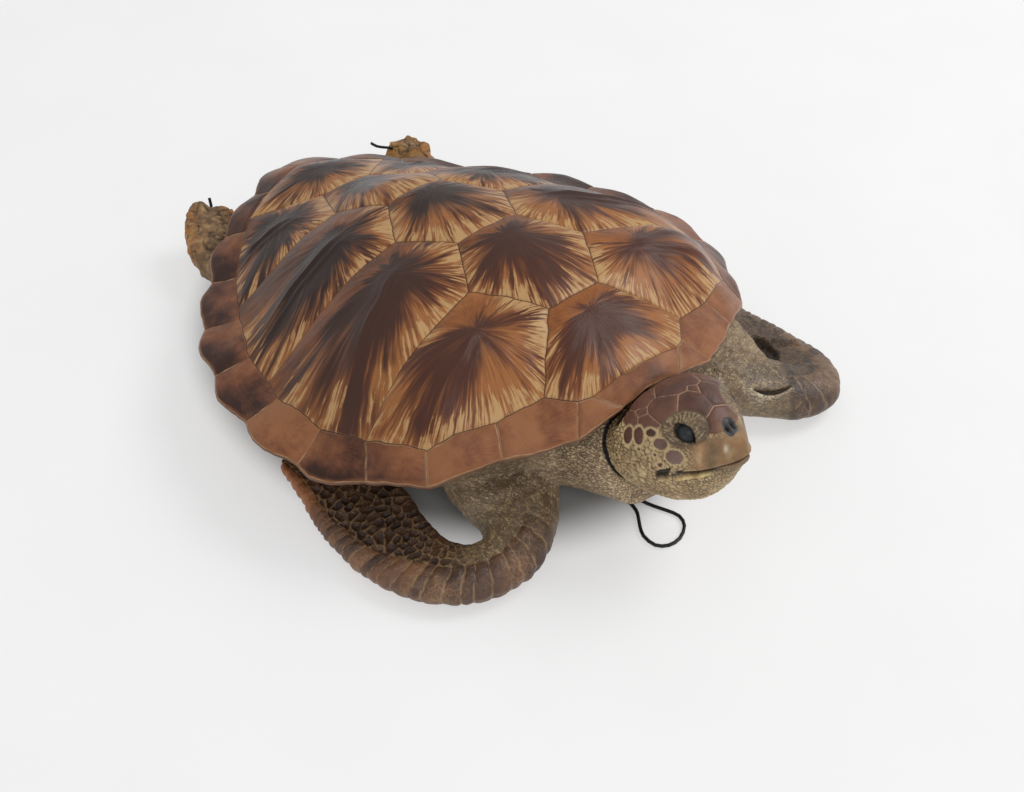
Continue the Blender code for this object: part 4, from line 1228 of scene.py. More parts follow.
def build_hind_flipper(name, sections, skin, seed, lobes, pits):
    """A crumpled stub with lumps and small pits that are given painted shade."""
    first, last = HIND_JOINT - JOINT_OVERLAP, len(sections) - 1
    tube = Tube(*HIND_MESH, limb_shape(sections, first, last))
    rough = ripple(tube.places, 2.6, 3, seed)
    lumps = ripple(tube.places, 8.0, 3, seed + 1)
    fold = ripple(tube.places * (1, 1, 0.3), 5.0, 2, seed + 2)
    crumple = np.abs(ripple(tube.places, 11.0, 2, seed + 3))
    rise = 0.45 * rough + 1.4 * lumps + 0.45 * np.minimum(np.abs(fold) * 3, 1)
    rise -= 1.1 * ease(crumple, 0.08, 0.0)
    for x, y, z, height, width in lobes:
        rise += height * bell(np.linalg.norm(tube.places - (x, y, z), axis=1), width)
    dark = np.zeros(len(rise))
    for x, y, z, width in pits:
        pit = bell(np.linalg.norm(tube.places - (x, y, z), axis=1), width)
        rise -= 2.5 * pit
        dark = np.maximum(dark, pit)
    rise *= ease(tube.along, 1.0, 0.95)
    tube.keep(fold=fold, crumple=crumple, pit=dark, rim=np.abs(np.cos(tube.around)) ** 3,
              reach=tube.along)
    return finish_piece(name + "_skin", tube.close(rise), [skin], [name])


# ================================================================ skin between the shells
BODY_VOXEL, BODY_SMOOTHING = 1.3, 4
NECK_SMOOTHING = 16
WRINKLED_FROM = 70.0         # distance ahead or behind where the skin shows
NECK_PINHOLE, PINHOLE_WIDTH = (-55.6, -126.3, 27.6), 0.9
NECK_END, NECK_HALF_WIDTH = -142.0, 42.0
# corners of the web of skin between the left shoulder and elbow, seen from above
WEB_CORNERS = [(102.3, -136.2, 24), (103, -111, 34), (104, -92, 38), (70, -95, 40),
               (62, -120, 32), (82, -140, 25)]
WEB_THICKNESS = 8.0


def add_web(bm):
    """Skin stretched between the left shoulder and elbow."""
    web = bmesh.new()
    for x, y, z in WEB_CORNERS:
        web.verts.new((x, y, z))
        web.verts.new((x, y, z - WEB_THICKNESS))
    bmesh.ops.convex_hull(web, input=web.verts)
    pour(web, bm)


def add_limb_roots(bm):
    """The first stretch of each limb, so that skin and limb share one surface."""
    roots = ((FRONT_RIGHT, FRONT_JOINT), (FRONT_LEFT, FRONT_JOINT),
             (HIND_RIGHT, HIND_JOINT), (HIND_LEFT, HIND_JOINT))
    for sections, joint in roots:
        tube = Tube(*ROOT_MESH, limb_shape(sections, joint - 1.5, joint + JOINT_OVERLAP))
        root = tube.close(np.zeros(len(tube.along)))
        bmesh.ops.recalc_face_normals(root, faces=root.faces)
        pour(root, bm)


def build_body(skin, skull):
    """Wrinkled skin of neck, shoulders and hips, one surface with the limbs' roots."""
    bm = bmesh.new()
    copy_of_solid(bm, "body")
    add_web(bm)
    add_limb_roots(bm)
    body = remeshed(bm, BODY_VOXEL)
    smooth(body, body.verts, BODY_SMOOTHING)
    neck_end = [v for v in body.verts if v.co.y < NECK_END and abs(v.co.x) < NECK_HALF_WIDTH]
    smooth(body, neck_end, NECK_SMOOTHING)
    normals = normals_of(body)
    places = place_of(body)
    seen = np.abs(places[:, 1]) > WRINKLED_FROM
    rough = np.zeros(len(places))
    folds = np.zeros(len(places))
    spots = places[seen]
    rough[seen] = ripple(spots, 3.0, 3, 2.0)
    folds[seen] = ripple(spots * (0.6, 1.0, 1.6), 7.0, 3, 9.0)
    rise = 0.30 * rough + 0.55 * (0.5 - np.abs(folds)) * seen
    move_to(body, places + normals * rise[:, None])
    in_front = places[:, 1] < -105
    to_head = gap_to(skull, places, in_front)
    crease = ease(to_head, 2.2, 1.0)
    pinhole = bell(np.linalg.norm(places - NECK_PINHOLE, axis=1), PINHOLE_WIDTH)
    places = place_of(body)
    move_to(body, places - normals * (1.0 * crease + 1.5 * pinhole)[:, None])
    # near the neck: deeper pebbles, and painted light that lifts the neck out of the shade below
    # the shell
    neck = ease(to_head, 40, 10) * ease(places[:, 0], 30, 5)
    keep_values(body, "fold", folds)
    # painted shade: the crease against the head and the pinhole are coloured near-black
    keep_values(body, "crease", np.maximum(crease, pinhole))
    keep_values(body, "neck", neck)
    return finish_piece("body_wrinkled_skin", body, [skin], ["body"])


# ================================================================ head
HEAD_PITCH = math.radians(18)
HEAD_ROOT = (0, -153, 48)
HEAD_SECTIONS = [            # forward, top, bottom, half width, height of the widest level
    (-10, 12, -13, 20, 2), (-4, 19, -15, 24.5, 4), (2, 24.5, -17.6, 27.6, 6),
    (8, 28.3, -19.6, 29.4, 7), (14, 30.8, -21.2, 29.2, 8), (20, 32.6, -22.4, 27.6, 9),
    (26, 33.6, -22.4, 25.4, 9.5), (32, 33.6, -20.8, 22.8, 10), (37, 32.2, -18, 20.2, 10),
    (41, 30, -14.4, 17.6, 10), (45, 27.2, -9.9, 14.6, 9.5), (48.5, 24.4, -5.5, 11.8, 9),
    (51.6, 21.4, -1.7, 9.2, 8.6), (54, 18.8, 1.1, 7.4, 8), (56, 16, 2.9, 5.6, 7.4),
    (57.6, 12.8, 4, 3.8, 7), (58.6, 10, 5, 1.6, 7.2),
]
HEAD_SQUARENESS = 0.92
HEAD_MESH, BARE_HEAD_MESH = (200, 280), (90, 120)       # points along, round
# Large scales of the crown on one half: forward, up, sideways, size.
CROWN_SCALES = [
    (29, 31, 13.5, 9), (39.5, 30.3, 8.0, 9.5), (48, 25.4, 4.6, 7), (34, 33.8, 0, 4.8),
    (41, 31, 0, 4.2), (22.5, 33, 5.6, 8.5), (13.5, 30.5, 12.5, 8), (7, 29.5, 3, 6),
    (19.4, 28.2, 18.4, 4.4), (24.0, 25.6, 20.6, 4.4), (14.5, 24.6, 22.4, 4.0),
]
# Lone scales of the cheek: forward, up, sideways, half width, half height, and 1 for grey.
CHEEK_SCALES = [
    (16.2, 18.9, 26.4, 2.4, 4.9, 0), (21.6, 19.4, 25.0, 2.5, 4.9, 0),
    (27.2, 21.2, 22.8, 2.5, 1.7, 0), (31.7, 16.8, 22.4, 3.3, 2.6, 0.5),
    (36.9, 10.8, 20.3, 3.9, 3.7, 1), (30.5, 6.7, 23.6, 1.2, 1.2, 0),
    (29.0, 11.4, 24.2, 0.8, 0.9, 0), (22.0, 13.5, 26.8, 0.9, 0.9, 0),
]
HEAD_STRETCH = (0.8, 1.15, 1.0)         # what turns long scales into round cells
PEBBLE_COUNT, PEBBLE_TOP = 2100, 22     # most pebbles, and how high up they reach
PEBBLE_SPACING = 0.8
EYE_RING = (40.2, 23.0, 15.0)           # forward, up, sideways
EYE_SLIT = (40.3, 21.2, 15.6)
SLIT_LEAN = (0.69, 0.72)
SLIT_HALF_LENGTH, SLIT_HALF_HEIGHT = 6.0, 2.5
LID_FOLDS, LID_HOOPS = 31, 4.2          # wrinkles in a full turn, radians of hoop per mm
EYE_RADIUS = 5.2
EYE_SHOWS = 0.35                        # how far the ball stands above the bare head
MOUTH_CORNER = (30.7, 1.9)              # forward, up
MOUTH_CORNER_LEAN = (0.79, 0.61)
MOUTH_HOLLOWS = [(37.3, 2.9), (42.9, 2.5), (48.3, 3.1)]      # forward, up
MOUTH_LINE = [(27.5, -1.2), (32, 0.6), (40, 2.4), (49, 3.8), (54, 5.6), (59, 7.4)]


def head_point(forward, up, side):
    """From the head's own directions to the frame of the part."""
    y = HEAD_ROOT[1] - forward * math.cos(HEAD_PITCH) + up * math.sin(HEAD_PITCH)
    z = HEAD_ROOT[2] + forward * math.sin(HEAD_PITCH) + up * math.cos(HEAD_PITCH)
    return np.stack([side + 0 * y, y, z], axis=-1)


def head_own(along, around):
    """Forward, up and sideways on the bare head, from along and round it."""
    row = along_table(HEAD_SECTIONS, along)
    cosine, sine = np.cos(around), np.sin(around)
    close = np.sqrt(np.clip((1 - along) / 0.03, 0, 1))
    close = np.where(along > 0.97, np.maximum(close, 0.03), 1.0)
    side = row[:, 3] * np.sign(cosine) * np.abs(cosine) ** HEAD_SQUARENESS * close
    reach = np.where(sine > 0, row[:, 1] - row[:, 4], row[:, 4] - row[:, 2])
    up = row[:, 4] + reach * np.sign(sine) * np.abs(sine) ** HEAD_SQUARENESS * close
    return np.stack([row[:, 0], up, side], axis=1)


def head_shape(along, around):
    own = head_own(along, around)
    return head_point(own[:, 0], own[:, 1], own[:, 2])


def line_distance(forward, up, line):
    """Distance above a line of points, in the side view."""
    line = np.asarray(line, float)
    steps = np.arange(0, 70.0)
    level = np.interp(forward, line[:, 0], line[:, 1])
    slope = np.gradient(np.interp(steps, line[:, 0], line[:, 1]))
    lean = np.interp(forward, steps, slope)
    return (up - level) / np.sqrt(1 + lean ** 2)


def head_cells(folded, warp):
    """Scales and pebbles: distance from the border, and kind, tone and halo at each place."""
    stretched = folded * HEAD_STRETCH
    centres = np.array([c[:3] for c in CROWN_SCALES], float) * HEAD_STRETCH
    sizes = np.array([c[3] for c in CROWN_SCALES], float)
    rng = np.random.default_rng(12)
    filler = stretched[rng.integers(0, len(folded), PEBBLE_COUNT)]
    far = np.min(np.linalg.norm(filler[:, None] - centres[None], axis=2) - sizes * 0.95, axis=1)
    filler = filler[(far > 0.7) & (filler[:, 1] < PEBBLE_TOP * HEAD_STRETCH[1])]
    _, apart = np.unique(np.round(filler / PEBBLE_SPACING), axis=0, return_index=True)
    filler = filler[np.sort(apart)]
    centres = np.concatenate([centres, filler])
    sizes = np.concatenate([sizes, np.full(len(filler), 0.8)])
    owner, edge = cell_net(stretched + warp[:, None], centres, sizes)
    is_scale = (owner < len(CROWN_SCALES)).astype(float)
    tone = rng.random(len(centres))[owner]
    is_round = np.zeros(len(owner))
    greyness = np.zeros(len(owner))
    halo = np.zeros(len(owner))
    for number, (ahead, high, out, width, tall, grey) in enumerate(CHEEK_SCALES):
        apart = folded - (ahead, high, out)
        span = np.hypot(np.hypot(apart[:, 0], apart[:, 2]) / width, apart[:, 1] / tall)
        inside = (1 - span) * min(width, tall) + 0.6 * warp
        mine = inside > -0.3
        edge[mine] = np.maximum(inside[mine], 0)
        is_scale[mine] = ease(inside[mine], -0.20, 0.10)
        tone[mine] = 0.5 + 0.4 * math.sin(number * 2.3)
        is_round[mine] = 1.0
        greyness[mine] = grey
        halo = np.maximum(halo, ease(inside, -1.15, -0.4) * ease(inside, 0.1, -0.2))
    return edge, is_scale, tone, is_round, greyness, halo


def eye_opening(forward, up, side):
    """The open slit between the lids, and the raised lip round it."""
    ahead, above = forward - EYE_SLIT[0], up - EYE_SLIT[1]
    along = ahead * SLIT_LEAN[0] - above * SLIT_LEAN[1]
    across = np.abs(ahead * SLIT_LEAN[1] + above * SLIT_LEAN[0])
    opening = SLIT_HALF_HEIGHT * (1 - np.clip(np.abs(along) / SLIT_HALF_LENGTH, 0, 1) ** 2.2)
    aside = np.abs(side) > 6
    slit = aside * ease(across, opening + 0.3, opening - 0.3) * ease(np.abs(along), 6.0, 5.5)
    lip = aside * bell(across - opening - 0.7, 0.45) * ease(np.abs(along), 6.6, 5.0)
    return slit, lip


def mouth_gap(forward, up, side):
    """The gap at the right corner of the mouth and the hollows along its line, carved and given
    painted shade.
    """
    ahead, above = forward - MOUTH_CORNER[0], up - MOUTH_CORNER[1]
    along = ahead * MOUTH_CORNER_LEAN[0] + above * MOUTH_CORNER_LEAN[1]
    across = above * MOUTH_CORNER_LEAN[0] - ahead * MOUTH_CORNER_LEAN[1]
    half = (1.9 - 0.22 * along) * np.clip(1 - np.abs(along / 5.0) ** 2, 0, 1)
    gap = (side < 0) * ease(np.abs(across), half + 0.35, half - 0.35) * (half > 0.1)
    for spot_forward, spot_up in MOUTH_HOLLOWS:
        hollow = oval((forward - spot_forward, 3.0), (up - spot_up, 0.9))
        gap = np.maximum(gap, 0.95 * (side < 0) * hollow)
    return gap


def nose_marks(forward, up, side, rough):
    """A pale spot, the grey patch of the nose and the nostrils in it, which get painted shade."""
    fade = 0.8 * oval((forward - 54.2, 0.9), (up - 13.5, 1.9), (side + 6.3, 1.1))
    patch_out = np.abs((forward - 52.0) / 2.7) ** 2.4 + np.abs((side + 0.3) / 3.4) ** 2.4
    patch = ease(patch_out + 0.2 * rough, 1.30, 0.85) * (up > 12)
    nostril = oval((forward - 52.2, 1.2), (np.abs(side + 0.3) - 1.6, 0.8))
    return fade, patch, nostril * (up > 12)


def build_head(skin, shell, body):
    """Head with scales, lids, beak and mouth, creased where shell and neck meet it."""
    tube = Tube(*HEAD_MESH, head_shape)
    own = head_own(tube.along, tube.around)
    forward, up, side = own[:, 0], own[:, 1], own[:, 2]
    folded = np.column_stack([forward, up, np.abs(side)])
    warp = 0.30 * ripple(tube.places, 2.4, 2, 3.0)
    edge, is_scale, tone, is_round, greyness, halo = head_cells(folded, warp)
    ring = np.linalg.norm((folded - EYE_RING) * (0.80, 1.10, 0.75), axis=1)
    lids = 1 - ease(ring, 7.0, 8.4)
    beak = ease(forward, 40, 46) * ease(up, 20.0, 16.0)
    mouth = line_distance(forward, up, MOUTH_LINE)
    open_mouth = ease(forward, 26.5, 30.0)
    is_scale *= (1 - lids) * (1 - beak) * ease(up, 0, 3)
    jaw = ease(mouth, 0.0, -2.4)
    smooth_beak = ease(forward, 37, 44) * (1 - jaw)
    pebbles = (1 - is_scale) * (1 - lids) * (1 - smooth_beak)
    rough = ripple(tube.places, 1.6, 3, 6.0)
    lumps = ripple(tube.places, 8.0, 2, 8.0)
    rise = is_scale * (0.26 * ease(edge, 0.1, 1.3) - 0.20 * bell(edge, 0.35))
    rise += pebbles * (0.50 * ease(edge, 0.0, 0.8) - 0.26)
    rise += 0.10 * rough * (1 - 0.6 * smooth_beak) + 0.28 * lumps
    # lids: wrinkles that fan out above the slit and hoops below it, weaker on the left side
    turn = np.arctan2(up - EYE_SLIT[1], forward - EYE_SLIT[0])
    wrinkle = np.sin(turn * LID_FOLDS + 4.0 * ripple(tube.places, 4.0, 2, 1.0))
    above = ease(up, EYE_SLIT[1] - 1.5, EYE_SLIT[1] + 1.5)
    hoops = np.sin(ring * LID_HOOPS + 1.6 * ripple(tube.places, 4.0, 2, 1.5))
    plain_side = np.where(side < 0, 1.0, 0.45)
    creases = (wrinkle * above + hoops * (1 - above)) * ease(ring, 2.6, 4.4) * plain_side
    rise += lids * (0.85 * plain_side * bell(ring - 3.6, 2.2) + 0.13 * creases)
    rise -= 0.45 * bell(ring - 7.9, 0.5) * plain_side
    slit, lip = eye_opening(forward, up, side)
    rise += 0.5 * lip - 2.6 * slit
    # mouth, with the yellow sheath that shows below its line
    # the mouth line is carved and given painted shade
    lip_line = bell(mouth, 0.6) * open_mouth
    rise -= 1.3 * lip_line
    gap = mouth_gap(forward, up, side)
    rise -= 2.0 * gap
    rise += 0.6 * open_mouth * bell(mouth - 1.5, 1.2)
    sheath = bell(mouth + 2.0, 1.0) * ease(forward, 33.5, 36) * ease(forward, 50, 46)
    rise += 0.8 * sheath - 0.5 * bell(mouth + 3.6, 0.5) * ease(forward, 33, 37)
    fade, patch, nostril = nose_marks(forward, up, side, rough)
    rise -= 0.20 * patch + 1.4 * nostril
    # creases where the neck and the shell meet the head, carved and given painted shade
    near_back = (forward < 22) & (forward > -8)
    to_body = gap_to(body, tube.places, near_back)
    to_shell = gap_to(shell, tube.places, near_back & (up > 0))
    crease = np.maximum(ease(to_body, 1.0, 0.5), ease(to_shell, 4.2, 2.2))
    rise -= 1.0 * ease(to_body, 2.2, 0.4) + 3.0 * ease(to_shell, 5.5, 1.5)
    fold = np.where(above > 0.5, wrinkle, hoops) * ease(ring, 2.4, 4.0) * lids * plain_side
    # painted shade: the nostril value also holds the eye slit and the creases, and like the mouth
    # value it is coloured near-black
    tube.keep(edge=edge, scale=is_scale, round=is_round, grey=greyness, tone=tone,
              halo=halo * (1 - lids), lids=lids, fold=fold, rim=bell(ring - 7.9, 0.6) * plain_side,
              mouth=np.clip(lip_line + gap, 0, 1), sheath=sheath, fade=fade,
              patch=np.clip(patch, 0, 1), nostril=np.clip(nostril + slit + crease, 0, 1),
              beak=beak * (1 - jaw), nose=ease(forward, 46, 55) * (1 - jaw))
    return finish_piece("head_scales_and_beak", tube.close(rise), [skin], ["head"])


def build_eye(name, side, glass):
    """A smooth ball deep under the lids."""
    forward, up, aside = EYE_SLIT
    outward = Vector((side * 0.80, -0.30, 0.52)).normalized()
    spot = Vector(head_point(np.float64(forward), np.float64(up), np.float64(side * aside)))
    bm = bmesh.new()
    bmesh.ops.create_uvsphere(bm, u_segments=64, v_segments=32, radius=EYE_RADIUS)
    bmesh.ops.translate(bm, vec=spot - outward * (EYE_RADIUS - EYE_SHOWS), verts=bm.verts)
    return finish_piece(name + "_ball", bm, [glass], [name])


# ================================================================ lower shell, eyes and wires
BELLY_SEAMS = ((-92, 0.10), (-58, -0.12), (-8, 0.0), (42, 0.10), (84, 0.22))    # y, slope
BRIDGE_SEAM = 58.0           # distance of the side seam from the middle
BELLY_VOXEL, BELLY_SMOOTHING = 1.5, 3


def build_plastron(horn):
    """Lower shell with sunken seams between its plates."""
    bm = bmesh.new()
    copy_of_solid(bm, "plastron")
    belly = remeshed(bm, BELLY_VOXEL)
    smooth(belly, belly.verts, BELLY_SMOOTHING)
    normals = normals_of(belly)
    places = place_of(belly)
    aside = np.abs(places[:, 0])
    nearest = aside.copy()
    for start, slope in BELLY_SEAMS:
        nearest = np.minimum(nearest, np.abs(places[:, 1] - start - slope * aside)
                             / math.hypot(1, slope))
    nearest = np.minimum(nearest, np.abs(aside - BRIDGE_SEAM - 0.05 * np.abs(places[:, 1])))
    nearest += 0.4 * ripple(places, 6.0, 2, 4.0)
    under = ease(-normals[:, 2], 0.4, 0.8)
    swell = 0.5 * ease(nearest, 0.0, 6.0) - 0.9 * bell(nearest, 1.1)
    move_to(belly, places + normals * (under * (swell - 0.5))[:, None])
    keep_values(belly, "seam", under * bell(nearest, 1.0))
    return finish_piece("plastron_horn_plates", belly, [horn], ["plastron"])


def eye_finish():
    f = Finish("eye_glass")
    cloud = f.noise(f.object_place(), 220.0, 3)
    colour = f.ramp(cloud, [(0.35, tint(26, 28, 30)), (0.65, tint(48, 51, 54))])
    f.surface(colour, 0.4, f.bump(f.noise(f.object_place(), 420.0, 2), 0.08, 0.4),
              Specular_IOR_Level=0.25)
    return f


def wire_finish():
    f = Finish("black_wire")
    rust = f.noise(f.object_place(), 420.0, 4)
    colour = f.ramp(rust, [
        (0.35, tint(20, 20, 22)), (0.62, tint(40, 38, 38)), (0.8, tint(72, 54, 42)),
    ])
    rough = f.ramp(rust, [(0.3, (0.34, 0.34, 0.34)), (0.8, (0.62, 0.62, 0.62))])
    f.surface(colour, rough, f.bump(f.noise(f.object_place(), 900.0, 3), 0.05, 0.5), Metallic=0.55)
    return f


def skin_colour(f, place, pebbled):
    """Dried skin: grey-olive brown, pebbled, with pale strokes and gold flecks."""
    blotch = f.noise(place, 26.0, 3)
    grain = f.noise(place, 260.0, 4, 0.65)
    strokes = f.noise(f.stretch(place, (1.0, 0.7, 2.4)), 520.0, 3, 0.6, 1.2)
    folded = f.shift(place, f.stretch(f.noise(place, 160.0, 2, output=1), (0.0016, 0.0016, 0.0016)))
    pebble = f.cell_border(f.stretch(folded, (0.9, 0.8, 1.35)), 560.0)
    base = f.ramp(f.total((blotch, 0.7), (grain, 0.4)), [
        (0.38, tint(105, 87, 67)), (0.55, tint(133, 113, 89)), (0.72, tint(158, 138, 111)),
    ])
    gaps = f.step(pebble, 0.02, 0.20)
    depth = f.total((pebbled, 0.40), (1.0, 0.16))
    gaps_share = f.plus(f.times(gaps, depth), f.minus(1.05, depth))
    base = f.shade(base, gaps_share)
    scratch = f.step(f.absolute(f.minus(strokes, 0.5)), 0.03, 0.0)
    base = f.shade(base, f.total((scratch, -0.26), (1.0, 1.05)))
    gold = f.step(f.total((strokes, 1.0), (grain, 0.35)), 0.71, 0.82)
    return f.cover(base, tint(194, 174, 138), gold, 0.6), grain, strokes, gaps


def body_finish():
    f = Finish("body_skin")
    place = f.object_place()
    neck = f.value("neck")
    colour, grain, strokes, gaps = skin_colour(f, place, neck)
    fold, shadow = f.values("fold", "crease")
    groove = f.step(f.absolute(fold), 0.02, 0.16)
    # painted light: the neck is made lighter where the head and shell shade it
    colour = f.shade(colour, f.total((groove, 0.26), (1.0, 0.78), (neck, 0.65)))
    # painted shade in the crease against the head and in the pinhole
    colour = f.mix(f.step(shadow, 0.15, 0.75), colour, tint(24, 19, 16))
    relief = f.times(gaps, f.total((neck, 0.9), (1.0, 0.4)))
    height = f.total((grain, 0.6), (relief, 1.0), (strokes, 0.3))
    f.surface(colour, 0.58, f.bump(height, 0.5, 0.8), Specular_IOR_Level=0.3)
    return f


def flipper_finish():
    f = Finish("flipper_skin")
    place = f.object_place()
    edge, tone, plates, scaly = f.values("edge", "tone", "plates", "scaly")
    reach, across, net = f.values("reach", "across", "net")
    skin, grain, strokes, gaps = skin_colour(f, place, 0.2)
    blotch = f.noise(place, 60.0, 4)
    streaks = f.noise(f.stretch(place, (1.0, 1.0, 0.5)), 240.0, 4, 0.6, 1.5)
    # dark net of small scales, warmer plates on the front edge, and a duller left side
    shade = f.total((tone, 0.24), (blotch, 0.62), (streaks, 0.36), (1.0, -0.05))
    cell = f.ramp(shade, [
        (0.36, tint(32, 22, 18)), (0.56, tint(60, 40, 31)), (0.80, tint(98, 68, 49)),
    ])
    plate = f.ramp(shade, [
        (0.36, tint(58, 39, 30)), (0.52, tint(94, 64, 46)), (0.68, tint(126, 87, 59)),
        (0.84, tint(154, 110, 70)),
    ])
    dull = f.ramp(shade, [
        (0.36, tint(62, 50, 43)), (0.60, tint(92, 76, 63)), (0.84, tint(124, 102, 80)),
    ])
    cell = f.mix(net, f.shade(dull, 0.88), cell)
    plate = f.mix(f.total((net, 0.7), (1.0, 0.25)), dull, plate)
    scales = f.mix(plates, cell, plate)
    scales = f.shade(scales, f.total((f.step(reach, 0.30, 0.55), 0.28), (1.0, 0.74)))
    # gold borders, cracks and crackle
    border = f.step(f.total((edge, 1.0), (grain, 0.5)), 0.82, 0.42)
    gold = f.mix(blotch, tint(132, 98, 62), tint(172, 144, 102))
    gold = f.mix(net, tint(132, 112, 90), gold)
    net_line = f.times(f.minus(1.0, plates), f.total((net, 0.60), (1.0, 0.02)))
    border = f.times(border, f.total((plates, 0.60), (net_line, 1.0)))
    scales = f.mix(border, scales, gold)
    crack = f.step(f.absolute(f.minus(streaks, 0.5)), 0.012, 0.0)
    crack = f.times(crack, f.step(blotch, 0.42, 0.56))
    scales = f.cover(scales, tint(172, 138, 96), crack, 0.7)
    crackled = f.shift(place, f.stretch(f.noise(place, 90.0, 2, output=1), (0.004, 0.004, 0.004)))
    crackle = f.cell_border(f.stretch(crackled, (1.0, 1.0, 0.5)), 330.0)
    fine_line = f.times(f.step(crackle, 0.05, 0.01), f.step(blotch, 0.46, 0.58))
    fine_line = f.times(fine_line, f.times(plates, f.step(reach, 0.60, 0.35)))
    scales = f.cover(scales, tint(160, 130, 94), fine_line, 0.4)
    # bare skin near the body, amber tip, frayed lips, and painted shade in the tear and the hollow
    # under the web
    dusky = f.shade(skin, 0.66)
    gilt = f.step(f.total((strokes, 1.0), (grain, 0.4)), 0.68, 0.80)
    gilt = f.times(gilt, f.total((net, 0.35), (1.0, 0.25)))
    dusky = f.mix(gilt, dusky, tint(170, 142, 98))
    colour = f.mix(scaly, f.mix(f.step(reach, 0.0, 0.14), skin, dusky), scales)
    tip = f.times(f.step(reach, 0.70, 0.92), f.step(f.absolute(across), 0.55, 0.95))
    colour = f.cover(colour, tint(158, 92, 48), tip, 0.75)
    fray = f.times(f.value("fray"), f.step(strokes, 0.42, 0.56))
    colour = f.mix(fray, colour, tint(206, 192, 164))
    # painted shade in the tear and painted shadow in the hollow under the web
    colour = f.mix(f.value("tear"), colour, tint(46, 36, 27))
    height = f.total((grain, 0.8), (strokes, 0.4), (gaps, 0.3), (streaks, 0.5))
    rough = f.total((grain, 0.24), (1.0, 0.30))
    f.surface(colour, rough, f.bump(height, 0.42, 0.7), Specular_IOR_Level=0.5)
    return f


def hind_finish():
    """Crumpled, browned skin of the hind stubs with amber thin edges, and painted shade in the
    crumples and pits.
    """
    f = Finish("hind_flipper_skin")
    place = f.object_place()
    blotch = f.noise(place, 60.0, 4)
    grain = f.noise(place, 300.0, 4, 0.65)
    fold = f.absolute(f.value("fold"))
    crumple = f.value("crumple")
    colour = f.ramp(f.total((blotch, 0.8), (grain, 0.45), (fold, 0.3), (1.0, -0.12)), [
        (0.36, tint(58, 42, 31)), (0.52, tint(104, 80, 58)), (0.66, tint(134, 106, 74)),
        (0.82, tint(164, 134, 92)),
    ])
    side, _, _ = f.parts(place)
    ochre = f.step(f.total((blotch, -1.0), (f.noise(place, 90.0, 2), 1.2)), 0.02, 0.22)
    ochre = f.times(ochre, f.total((f.step(side, -0.01, 0.01), 0.60), (1.0, 0.12)))
    colour = f.mix(ochre, colour, tint(150, 106, 44))
    rim = f.times(f.value("rim"), f.step(f.value("reach"), 0.2, 0.5))
    amber = f.times(rim, f.step(grain, 0.40, 0.56))
    colour = f.cover(colour, tint(182, 112, 40), amber, 0.85)
    # painted shade in the crumple lines and the pits
    deep = f.larger(f.step(crumple, 0.10, 0.01), f.value("pit"))
    colour = f.cover(colour, tint(36, 28, 22), deep, 0.55)
    height = f.total((grain, 1.0), (blotch, 0.6))
    f.surface(colour, 0.55, f.bump(height, 0.6, 0.9), Specular_IOR_Level=0.35)
    return f


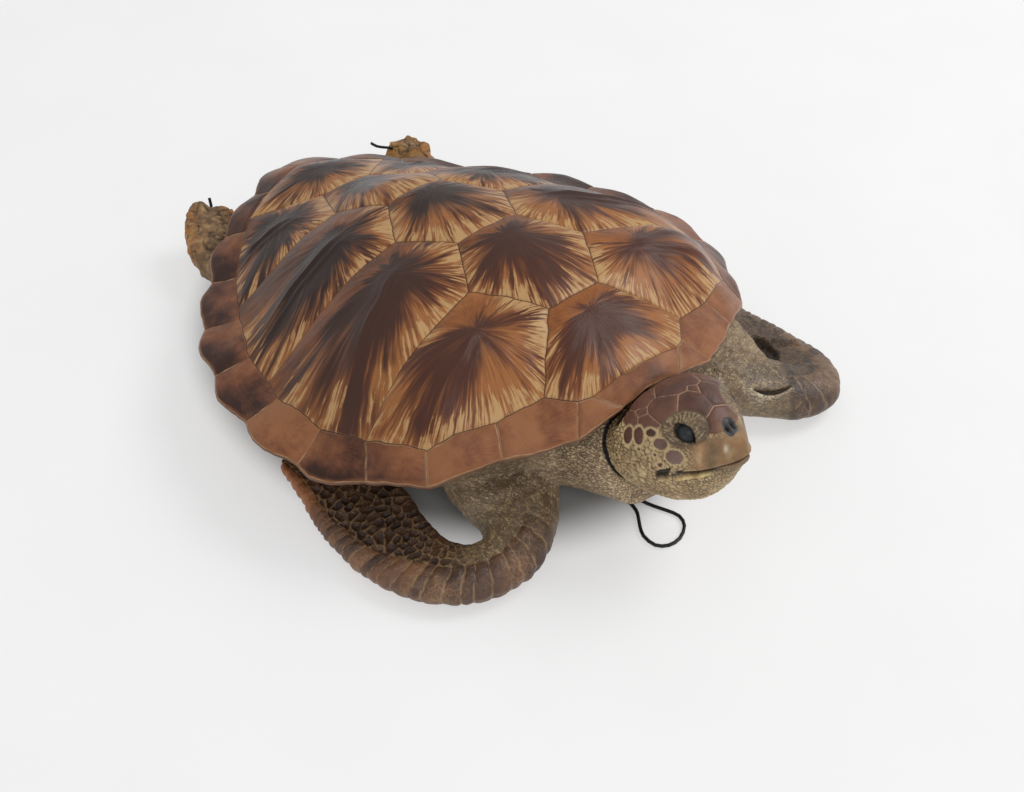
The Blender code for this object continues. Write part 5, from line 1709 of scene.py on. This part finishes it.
def head_finish():
    f = Finish("head_scales")
    place = f.object_place()
    edge, scale, tone, rounded, grey_scale = f.values("edge", "scale", "tone", "round", "grey")
    blotch = f.noise(place, 70.0, 4)
    grain = f.noise(place, 520.0, 4, 0.65)
    slanted = f.noise(f.stretch(place, (1.0, 1.6, 0.7)), 300.0, 3, 0.6, 1.0)
    # scales of crown and cheek on pebbled skin
    shade = f.total((tone, 0.22), (blotch, 0.75), (grain, 0.15))
    plate = f.ramp(shade, [
        (0.32, tint(62, 41, 34)), (0.50, tint(92, 60, 49)), (0.70, tint(118, 81, 64)),
        (0.84, tint(136, 99, 75)),
    ])
    lone = f.ramp(shade, [(0.35, tint(46, 26, 20)), (0.75, tint(100, 60, 46))])
    grey = f.ramp(shade, [(0.35, tint(98, 70, 60)), (0.75, tint(136, 114, 104))])
    plate = f.mix(rounded, plate, lone)
    plate = f.mix(grey_scale, plate, grey)
    cheek = f.ramp(f.total((blotch, 0.45), (grain, 0.35), (slanted, 0.35)), [
        (0.42, tint(124, 100, 68)), (0.58, tint(174, 148, 108)), (0.74, tint(208, 186, 144)),
    ])
    line = f.step(f.total((edge, 1.0), (grain, 0.3)), 0.52, 0.28)
    line = f.times(line, f.minus(1.0, rounded))
    plate = f.cover(plate, tint(166, 134, 102), line, 0.8)
    colour = f.mix(scale, cheek, plate)
    pit = f.times(f.step(edge, 0.44, 0.10), f.minus(1.0, scale))
    pit = f.times(pit, f.total((f.step(slanted, 0.38, 0.56), 0.35), (1.0, 0.65)))
    colour = f.cover(colour, tint(78, 58, 40), pit, 0.9)
    colour = f.cover(colour, tint(198, 174, 130), f.value("halo"), 0.8)
    # beak, nose and lids
    horn = f.ramp(f.noise(f.stretch(place, (1.0, 1.0, 0.5)), 110.0, 4), [
        (0.34, tint(100, 80, 56)), (0.48, tint(134, 104, 74)), (0.60, tint(154, 116, 80)),
        (0.76, tint(190, 166, 124)),
    ])
    colour = f.cover(colour, horn, f.value("beak"), 0.92)
    nose = f.ramp(blotch, [(0.38, tint(122, 90, 58)), (0.62, tint(188, 158, 112))])
    colour = f.cover(colour, nose, f.value("nose"), 0.6)
    lids, fold = f.values("lids", "fold")
    lid = f.ramp(f.total((f.noise(place, 700.0, 3), 0.50), (blotch, 0.45), (fold, 0.075)), [
        (0.30, tint(66, 54, 42)), (0.46, tint(102, 84, 64)), (0.62, tint(162, 140, 106)),
    ])
    colour = f.mix(lids, colour, lid)
    colour = f.cover(colour, tint(78, 62, 44), f.value("rim"), 0.6)
    # mouth sheath, pale spot, nose patch, and painted shade in the mouth, nostrils, eye slit and
    # creases
    yellow = f.ramp(slanted, [(0.4, tint(178, 140, 88)), (0.6, tint(220, 196, 140))])
    colour = f.mix(f.value("sheath"), colour, yellow)
    colour = f.mix(f.value("fade"), colour, tint(206, 196, 170))
    patch = f.ramp(blotch, [(0.4, tint(44, 45, 46)), (0.6, tint(76, 76, 74))])
    colour = f.mix(f.value("patch"), colour, patch)
    # painted shade: near-black in the mouth, nostrils, eye slit and the creases at the back of the
    # head
    dark = f.larger(f.value("mouth"), f.value("nostril"))
    colour = f.cover(colour, tint(15, 12, 11), dark, 0.95)
    f.surface(colour, f.total((grain, 0.2), (1.0, 0.34)), f.bump(grain, 0.2, 0.5),
              Specular_IOR_Level=0.35)
    return f


def belly_finish():
    f = Finish("plastron_horn")
    place = f.object_place()
    blotch = f.noise(place, 40.0, 4)
    grain = f.noise(place, 420.0, 3)
    colour = f.ramp(f.total((blotch, 0.7), (grain, 0.3)), [
        (0.34, tint(120, 88, 52)), (0.55, tint(168, 130, 82)), (0.76, tint(196, 162, 110)),
    ])
    colour = f.cover(colour, tint(84, 56, 34), f.value("seam"), 0.8)
    f.surface(colour, 0.45, f.bump(grain, 0.2, 0.5))
    return f


def dress_nodes(finish, *nodes):
    """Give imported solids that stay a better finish."""
    for node in nodes:
        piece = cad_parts[node]
        piece.data.materials.clear()
        piece.data.materials.append(finish.material)


def main():
    add_camera()
    add_light_and_floor()
    shell = build_carapace(horn_finish(), underside_shade_finish())
    flipper = flipper_finish()
    build_front_flipper("front_flipper_right", FRONT_RIGHT, flipper, 21, 1.0)
    build_front_flipper("front_flipper_left", FRONT_LEFT, flipper, 34, 0.25)
    stub = hind_finish()
    build_hind_flipper("hind_flipper_right", HIND_RIGHT, stub, 5.0, LOBES_RIGHT, PITS_RIGHT)
    build_hind_flipper("hind_flipper_left", HIND_LEFT, stub, 8.0, LOBES_LEFT, PITS_LEFT)
    bare_head = Tube(*BARE_HEAD_MESH, head_shape)
    skull = BVHTree.FromBMesh(bare_head.close(np.zeros(len(bare_head.along))))
    body = build_body(body_finish(), skull)
    build_head(head_finish(), piece_surface(shell), piece_surface(body))
    build_plastron(belly_finish())
    glass = eye_finish()
    build_eye("eye_right", -1, glass)
    build_eye("eye_left", 1, glass)
    dress_nodes(wire_finish(), "hanging_wire_loop", "wire_end_right", "wire_end_left")


main()
